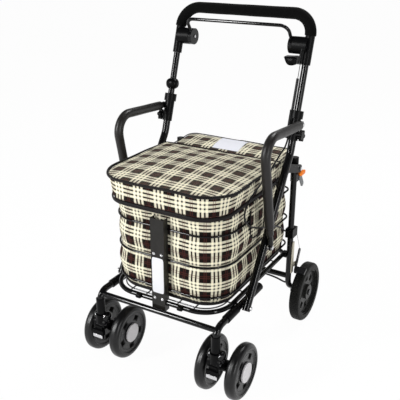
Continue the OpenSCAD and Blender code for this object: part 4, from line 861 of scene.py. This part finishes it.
def sew_patch(points, faces):
    """A blank patch laid on the rear cover: places dropped onto the cloth, with a thickness and a hem."""
    cloth = BVHTree.FromPolygons(points.tolist(), faces.tolist())
    across, deep = np.meshgrid(*(np.linspace(-half, half, PATCH_STEPS) for half in PATCH_HALF))
    x, y = PATCH_MIDDLE
    flat = np.stack([across + x - PATCH_SLANT * deep, y + deep], -1).reshape(-1, 2)
    tops = [cloth.ray_cast(Vector((*spot, ABOVE_ALL)), -Vector(UP))[0].z for spot in flat]
    laid = at_height(flat, np.array(tops) + 1.0)
    faces = grid_faces(PATCH_STEPS, PATCH_STEPS, close_cols=False).tolist()
    sheet = make("rear_cover_patch", laid, faces, BLANK_PATCH, "frame", "plaid")
    modifier(sheet, "SOLIDIFY", thickness=0.0012, offset=-1.0)
    grid = laid.reshape(PATCH_STEPS, PATCH_STEPS, 3)
    hem = np.concatenate([grid[0, :-1], grid[:-1, -1], grid[-1, :0:-1], grid[:0:-1, 0]])
    edge = make("rear_cover_patch_hem", *swept(hem, 0.9, UP, 8, True), BLANK_PATCH, "frame", "plaid")


def grip_path(start_s, count):
    """The push handle's middle line by even steps: up one leg, round both bends and down the other."""
    bend = np.linspace(0, np.pi / 2, 40)[1:-1]
    low_s = GRIP_S - GRIP_R
    left = np.stack([-POST_X + GRIP_R * (1 - np.cos(bend)), low_s + GRIP_R * np.sin(bend)], -1)
    half = np.concatenate([[[-POST_X, start_s], [-POST_X, low_s]], left, [[GRIP_R - POST_X, GRIP_S]]])
    flat, s, _ = evenly(np.concatenate([half, half[::-1] * [-1, 1]]), count)
    return beside(flat[:, 0], upper(flat[:, 1])), s


def ends_rounded(s, radius, lip):
    """A radius along a run that closes over each end as a quarter circle of a lip's size."""
    near = np.minimum(s - s[0], s[-1] - s)
    short = np.clip(1 - near / lip, 0, 1)
    return radius - lip * (1 - np.sqrt(np.maximum(1 - short ** 2, 0)))


def arm_line():
    """The armrest foam's middle line in the side view, from the post along its level run, round its
    front bend and down; with the end of that line and the way it falls."""
    top = upper(ARM_S)
    corner = top + ARM_REACH
    ahead = unit(ARM_REACH)
    turn = math.pi / 2 + LOWER_LEAN
    fall = math.atan2(*ARM_REACH) - turn
    down = np.array([math.sin(fall), math.cos(fall)])
    slope = math.tan(RAKE + LOWER_LEAN)
    fall_l = (BEND[0] - (BEND[1] - corner[1]) * slope - corner[0]) / (down[0] - down[1] * slope)
    turn_start = corner - ahead * ARM_BEND_R * math.tan(turn / 2)
    side = np.array([ahead[1], -ahead[0]]) * np.sign(ahead[1] * down[0] - ahead[0] * down[1])
    a = np.linspace(0, turn, 60)[:, None]
    arc = turn_start + ARM_BEND_R * (np.sin(a) * ahead + (1 - np.cos(a)) * side)
    end = corner + down * (fall_l - ARM_FOAM_SHORT)
    return np.concatenate([[top + ahead * ARM_FOAM_START], arc, [end]]), end, down


def make_foams():
    """Foam sleeves, slightly uneven and with soft ends: the push grip, both armrests and their cuffs."""
    path, s = grip_path(GRIP_S - GRIP_R - 2.0, 240)
    radius = ends_rounded(s, GRIP_FOAM_R, lip=4.0)
    radius = radius + 0.18 * np.sin(s * 0.05) + 0.12 * np.sin(s * 0.017 + 1.0)
    plane = np.array([0.0, -math.cos(RAKE), math.sin(RAKE)])
    sleeve = swept(path, radius, plane, 32)
    grip = make("push_grip", *sleeve, GRIP_FOAM, "handle", "foam", ("handle_foam",))
    line, end, down = arm_line()
    sleeve, s, _ = evenly(line, 170)
    cuff_s = np.linspace(0, CUFF_L, 24)
    cuff = end + down * (cuff_s[:, None] + 0.2)
    cuff_radius = ends_rounded(cuff_s, CUFF_R, lip=1.5)
    for sign, which in SIDES:
        radius = ends_rounded(s, ARM_FOAM_R, lip=3.0) + 0.15 * np.sin(s * 0.06 + sign)
        pieces = [swept(beside(sign * ARM_X, sleeve), radius, SIDE, 28),
                  swept(beside(sign * ARM_X, cuff), cuff_radius, SIDE, 24)]
        pad = make(which + "_arm_pad", *joined(pieces), ARM_FOAM, "frame", "foam")
    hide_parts("armrest_foam")


def joined(pieces):
    """Several pieces' points and faces as one list of each."""
    points, faces, base = [], [], 0
    for found, rows in pieces:
        points.append(np.asarray(found))
        faces += [[base + i for i in row] for row in rows]
        base += len(found)
    return np.concatenate(points), faces


def signed_power(values, power):
    """Values raised to a power with their signs kept."""
    return np.sign(values) * np.abs(values) ** power


def soft_square(half_w, half_h, r, count):
    """A ring of (across, up) pairs with round corners: |a|^r + |b|^r = 1, scaled to its halves."""
    a = full_turn(count)
    return signed_power(np.stack([np.cos(a), np.sin(a)], -1), 2.0 / r) * [half_w, half_h]


def slab(ring, place, thickness, lip):
    """An upright plate: a ring drawn across and up, raised ahead with a rounded lip and closed."""
    shrink = np.array([0.0, 0.0, 0.3, 1.0])[:, None, None]
    rise = np.array([0.0, 0.55, 0.9, 1.0])[:, None, None] * thickness
    flat = ring * (1 - shrink * lip / np.abs(ring).max())
    points = np.asarray(place) + flat[..., :1] * SIDE + flat[..., 1:] * UP + rise * AHEAD
    return capped(points, len(rise), len(ring))


def screw_head(place, axis, r, h):
    """A domed screw head with a crossed slot sunk in its face, turned about an axis through its place."""
    axis = unit(np.asarray(axis, float))
    first = unit(np.cross(axis, [0.31, 0.52, 0.79]))
    second = np.cross(axis, first)
    a = full_turn(32)
    share = np.array([1.0, 1.0, 0.94, 0.8, 0.55, 0.3, 0.1])
    rise = np.array([0.0, 0.45, 0.7, 0.88, 0.97, 1.0, 1.0]) * h
    cross = (np.abs(np.cos(2 * a)) > 0.9)[None] * (share < 0.6)[:, None]
    rise = rise[:, None] - 0.35 * h * cross
    ring = np.cos(a)[:, None] * first + np.sin(a)[:, None] * second
    points = np.asarray(place, float) + r * share[:, None, None] * ring[None] + rise[..., None] * axis
    return capped(points, len(share), len(a))


def pillow(centre, half, power, rows=18, cols=32):
    """A soft block: the centre plus its halves times (c(v) c(u), c(v) s(u), s(v)), where c and s are the
    cosine and the sine raised to a power with their signs kept."""
    v = np.linspace(-0.48 * np.pi, 0.48 * np.pi, rows)[:, None]
    u = full_turn(cols)[None]
    cv, sv, cu, su = (signed_power(wave, power) for wave in (np.cos(v), np.sin(v), np.cos(u), np.sin(u)))
    ball = np.stack([cv * cu, cv * su, sv * np.ones_like(u)], -1)
    return capped(np.asarray(centre) + np.asarray(half) * ball, rows, cols)


def curved(points, steps):
    """A smooth line through given points: cubics with their slopes from the points on both sides."""
    points = np.asarray(points, float)
    slopes = np.gradient(points, axis=0)
    t = np.linspace(0, 1, steps, endpoint=False)[None, :, None]
    first, last = points[:-1, None], points[1:, None]
    lead, trail = slopes[:-1, None], slopes[1:, None]
    bend = first * (1 + 2 * t) * (1 - t) ** 2 + lead * t * (1 - t) ** 2
    bend = bend + last * t ** 2 * (3 - 2 * t) + trail * t ** 2 * (t - 1)
    return np.concatenate([bend.reshape(-1, points.shape[1]), points[-1:]])


def make_cables():
    """The brake cable's free loop and the bare wire below its stop, which run between two bodies; each is
    made on no body, with its place baked into its points.
    """
    path = curved(CABLE_ROUTE, 8)
    tube = swept(path, CABLE_D / 2, SIDE, 14)
    cable = make("brake_cable", *tube, CABLE_SKIN, None, "cable", ("brake_cable_loop",))
    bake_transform(cable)
    top, tip = np.array(WIRE_ENDS)
    line = top + np.linspace(0, 1, 16)[:, None] * (tip - top)
    tube = swept(line, WIRE_D / 2, SIDE, 10)
    wire = make("bare_brake_wire", *tube, BRIGHT_STEEL, None, "bright_steel", ("brake_wire",))
    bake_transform(wire)


def make_trims():
    """Small fittings: blank panel, screws, clips, pedal strips, caster shoulders and pads."""
    panel = slab(soft_square(*PANEL_HALF, 10.0, 64), (0.0, UPRIGHT_FRONT, PANEL_Z), thickness=0.5, lip=0.4)
    make("upright_panel", *panel, BLANK_PANEL, "frame", "upright")
    heads = [screw_head(place, AHEAD, r=3.6, h=1.8) for place in UPRIGHT_SCREWS]
    make("upright_screw_heads", *joined(heads), BRIGHT_STEEL, "frame", "bright_steel")
    clips = [slab(soft_square(9.0, 6.0, 5.0, 32), place, thickness=11.0, lip=1.6) for place in GRID_CLIPS]
    make("grid_clips", *joined(clips), BLACK_PLASTIC, "frame", "upright")
    for sign, which in SIDES:
        stem = sign * STEM_X
        screw = screw_head((sign * HUB_SCREW_X, *upper(HUB_S)), -sign * SIDE, r=4.2, h=1.8)
        make(which + "_hub_screw", *screw, BRIGHT_STEEL, "brake_handle", "bright_steel")
        strip = slab(soft_square(17.0, 5.5, 9.0, 40), (stem, *STRIP_YZ), thickness=1.4, lip=0.8)
        make(which + "_pedal_strip", *strip, BRIGHT_STEEL, which + "_pedal", "bright_steel")
        x, *yz = SHOULDER
        humps = [pillow((stem + off, *yz), SHOULDER_HALF, power=0.85) for off in (-x, x)]
        make(which + "_caster_shoulders", *joined(humps), BRAKE_GLOSS, which + "_caster", "dark_plastic")
        x, *yz = STUD
        studs = [screw_head((stem + off, *yz), STUD_AXIS, r=3.4, h=2.0) for off in (-x, x)]
        make(which + "_caster_screws", *joined(studs), BRIGHT_STEEL, which + "_caster", "bright_steel")
    make("release_pad", *pillow(RELEASE_MIDDLE, RELEASE_HALF, power=0.55), ORANGE, "release", "orange")
    clip_s = (CANE_CLIP_Z - BEND[1]) / math.cos(RAKE)
    clip = pillow((-POST_X, *upper(clip_s)), CANE_CLIP_HALF, power=0.8)
    make("round_cane_clip", *clip, BLACK_PLASTIC, "handle", "dark_plastic", ("cane_clip",))
    wedge = curved(TAB_OUTLINE + TAB_OUTLINE[:1], 5)[:-1]
    thumb = slab(wedge - TAB_MIDDLE[::2], TAB_MIDDLE, TAB_DEPTH, lip=2.5)
    make("parking_pad", *thumb, BLACK_PLASTIC, "parking_lever", "dark_plastic")


make_bag()
pocket()
make_lid()
make_flap()
make_foams()
make_cables()
make_trims()


# The stage, in metres, watts and degrees
FLOOR_HALF = 40.0
WHITE = (1.0, 1.0, 1.0, 1.0)
RAYS = ("Is Camera Ray", "Is Glossy Ray", "Is Transmission Ray")
LAMP_AIM = np.array([0.0, 0.0, 0.45])
CAMERA_PLACE = (0.9018, -1.6047, 1.2193)
CAMERA_DIP = 22.3106
CAMERA_TURN = 30.2741
CAMERA_LENS = 58.35
CAMERA_SENSOR = 36.0


def light_floor():
    """A pale floor that shows white to the eye and to polished surfaces, and still takes a shadow."""
    half = FLOOR_HALF / MM
    spots = [(-half, -half, 0.0), (half, -half, 0.0), (half, half, 0.0), (-half, half, 0.0)]
    floor = loose_mesh("floor", spots, [(0, 1, 2, 3)])
    finish = Finish("pale_floor", Roughness=0.9, Base_Color=times(WHITE, 0.94), Specular_IOR_Level=0.1)
    straight, glossy, through = finish.node("LightPath", output=RAYS)
    seen = finish.math("MAXIMUM", finish.math("MAXIMUM", straight, glossy), through)
    glow = finish.node("Emission", None, {"Color": WHITE, "Strength": 1.0})
    base = Wire(finish, finish.surface.outputs[0])
    both = finish.node("MixShader", None, {0: seen * 0.97, 1: base, 2: glow})
    finish.feed(finish.tree.nodes["Material Output"].inputs["Surface"], both)
    floor.data.materials.append(finish.material)


def light_world():
    """A surround that shows white to the eye, is dim above for polished surfaces, and lights dimly."""
    world = bpy.data.worlds.new("surround")
    scene.world = world
    world.use_nodes = True
    sky = Shader(world.node_tree)
    straight, glossy, through = sky.node("LightPath", output=RAYS)
    facing = sky.node("TexCoord", output="Generated")
    ceiling = sky.span(sky.node("SeparateXYZ", None, {0: facing}, "Z"), 0.1, 0.4, 1.0, 0.08)
    shine = sky.span(glossy, 0.0, 1.0, 0.34, ceiling)
    level = sky.span(sky.math("MAXIMUM", straight, through), 0.0, 1.0, shine, 0.99)
    surround = sky.tree.nodes["Background"]
    sky.feed(surround.inputs["Color"], WHITE)
    sky.feed(surround.inputs["Strength"], level)


def lamp(name, place, power, width, height):
    """A soft upright panel of light at a place, turned to the object's middle."""
    light = bpy.data.lights.new(name, "AREA")
    light.energy = power
    light.shape = "RECTANGLE"
    light.size = width
    light.size_y = height
    made = bpy.data.objects.new(name, light)
    back = unit(np.array(place) - LAMP_AIM)
    made.location = place
    made.rotation_euler = (math.acos(back[2]), 0.0, math.atan2(back[0], -back[1]))
    scene.collection.objects.link(made)


def set_camera():
    camera = bpy.data.objects.new("camera", bpy.data.cameras.new("camera"))
    camera.data.sensor_width = CAMERA_SENSOR
    camera.data.lens = CAMERA_LENS
    camera.data.clip_end = 50.0
    camera.location = CAMERA_PLACE
    camera.rotation_euler = (math.radians(90.0 - CAMERA_DIP), 0.0, math.radians(CAMERA_TURN))
    scene.collection.objects.link(camera)
    scene.camera = camera
    scene.view_settings.view_transform = "Standard"


light_floor()
light_world()
lamp("key", (-1.5, -2.5, 1.75), 84.0, 0.3, 1.4)
lamp("fill", (2.4, -1.3, 1.2), 26.0, 0.25, 1.6)
lamp("back", (0.3, 1.6, 2.9), 44.0, 0.8, 0.8)
set_camera()
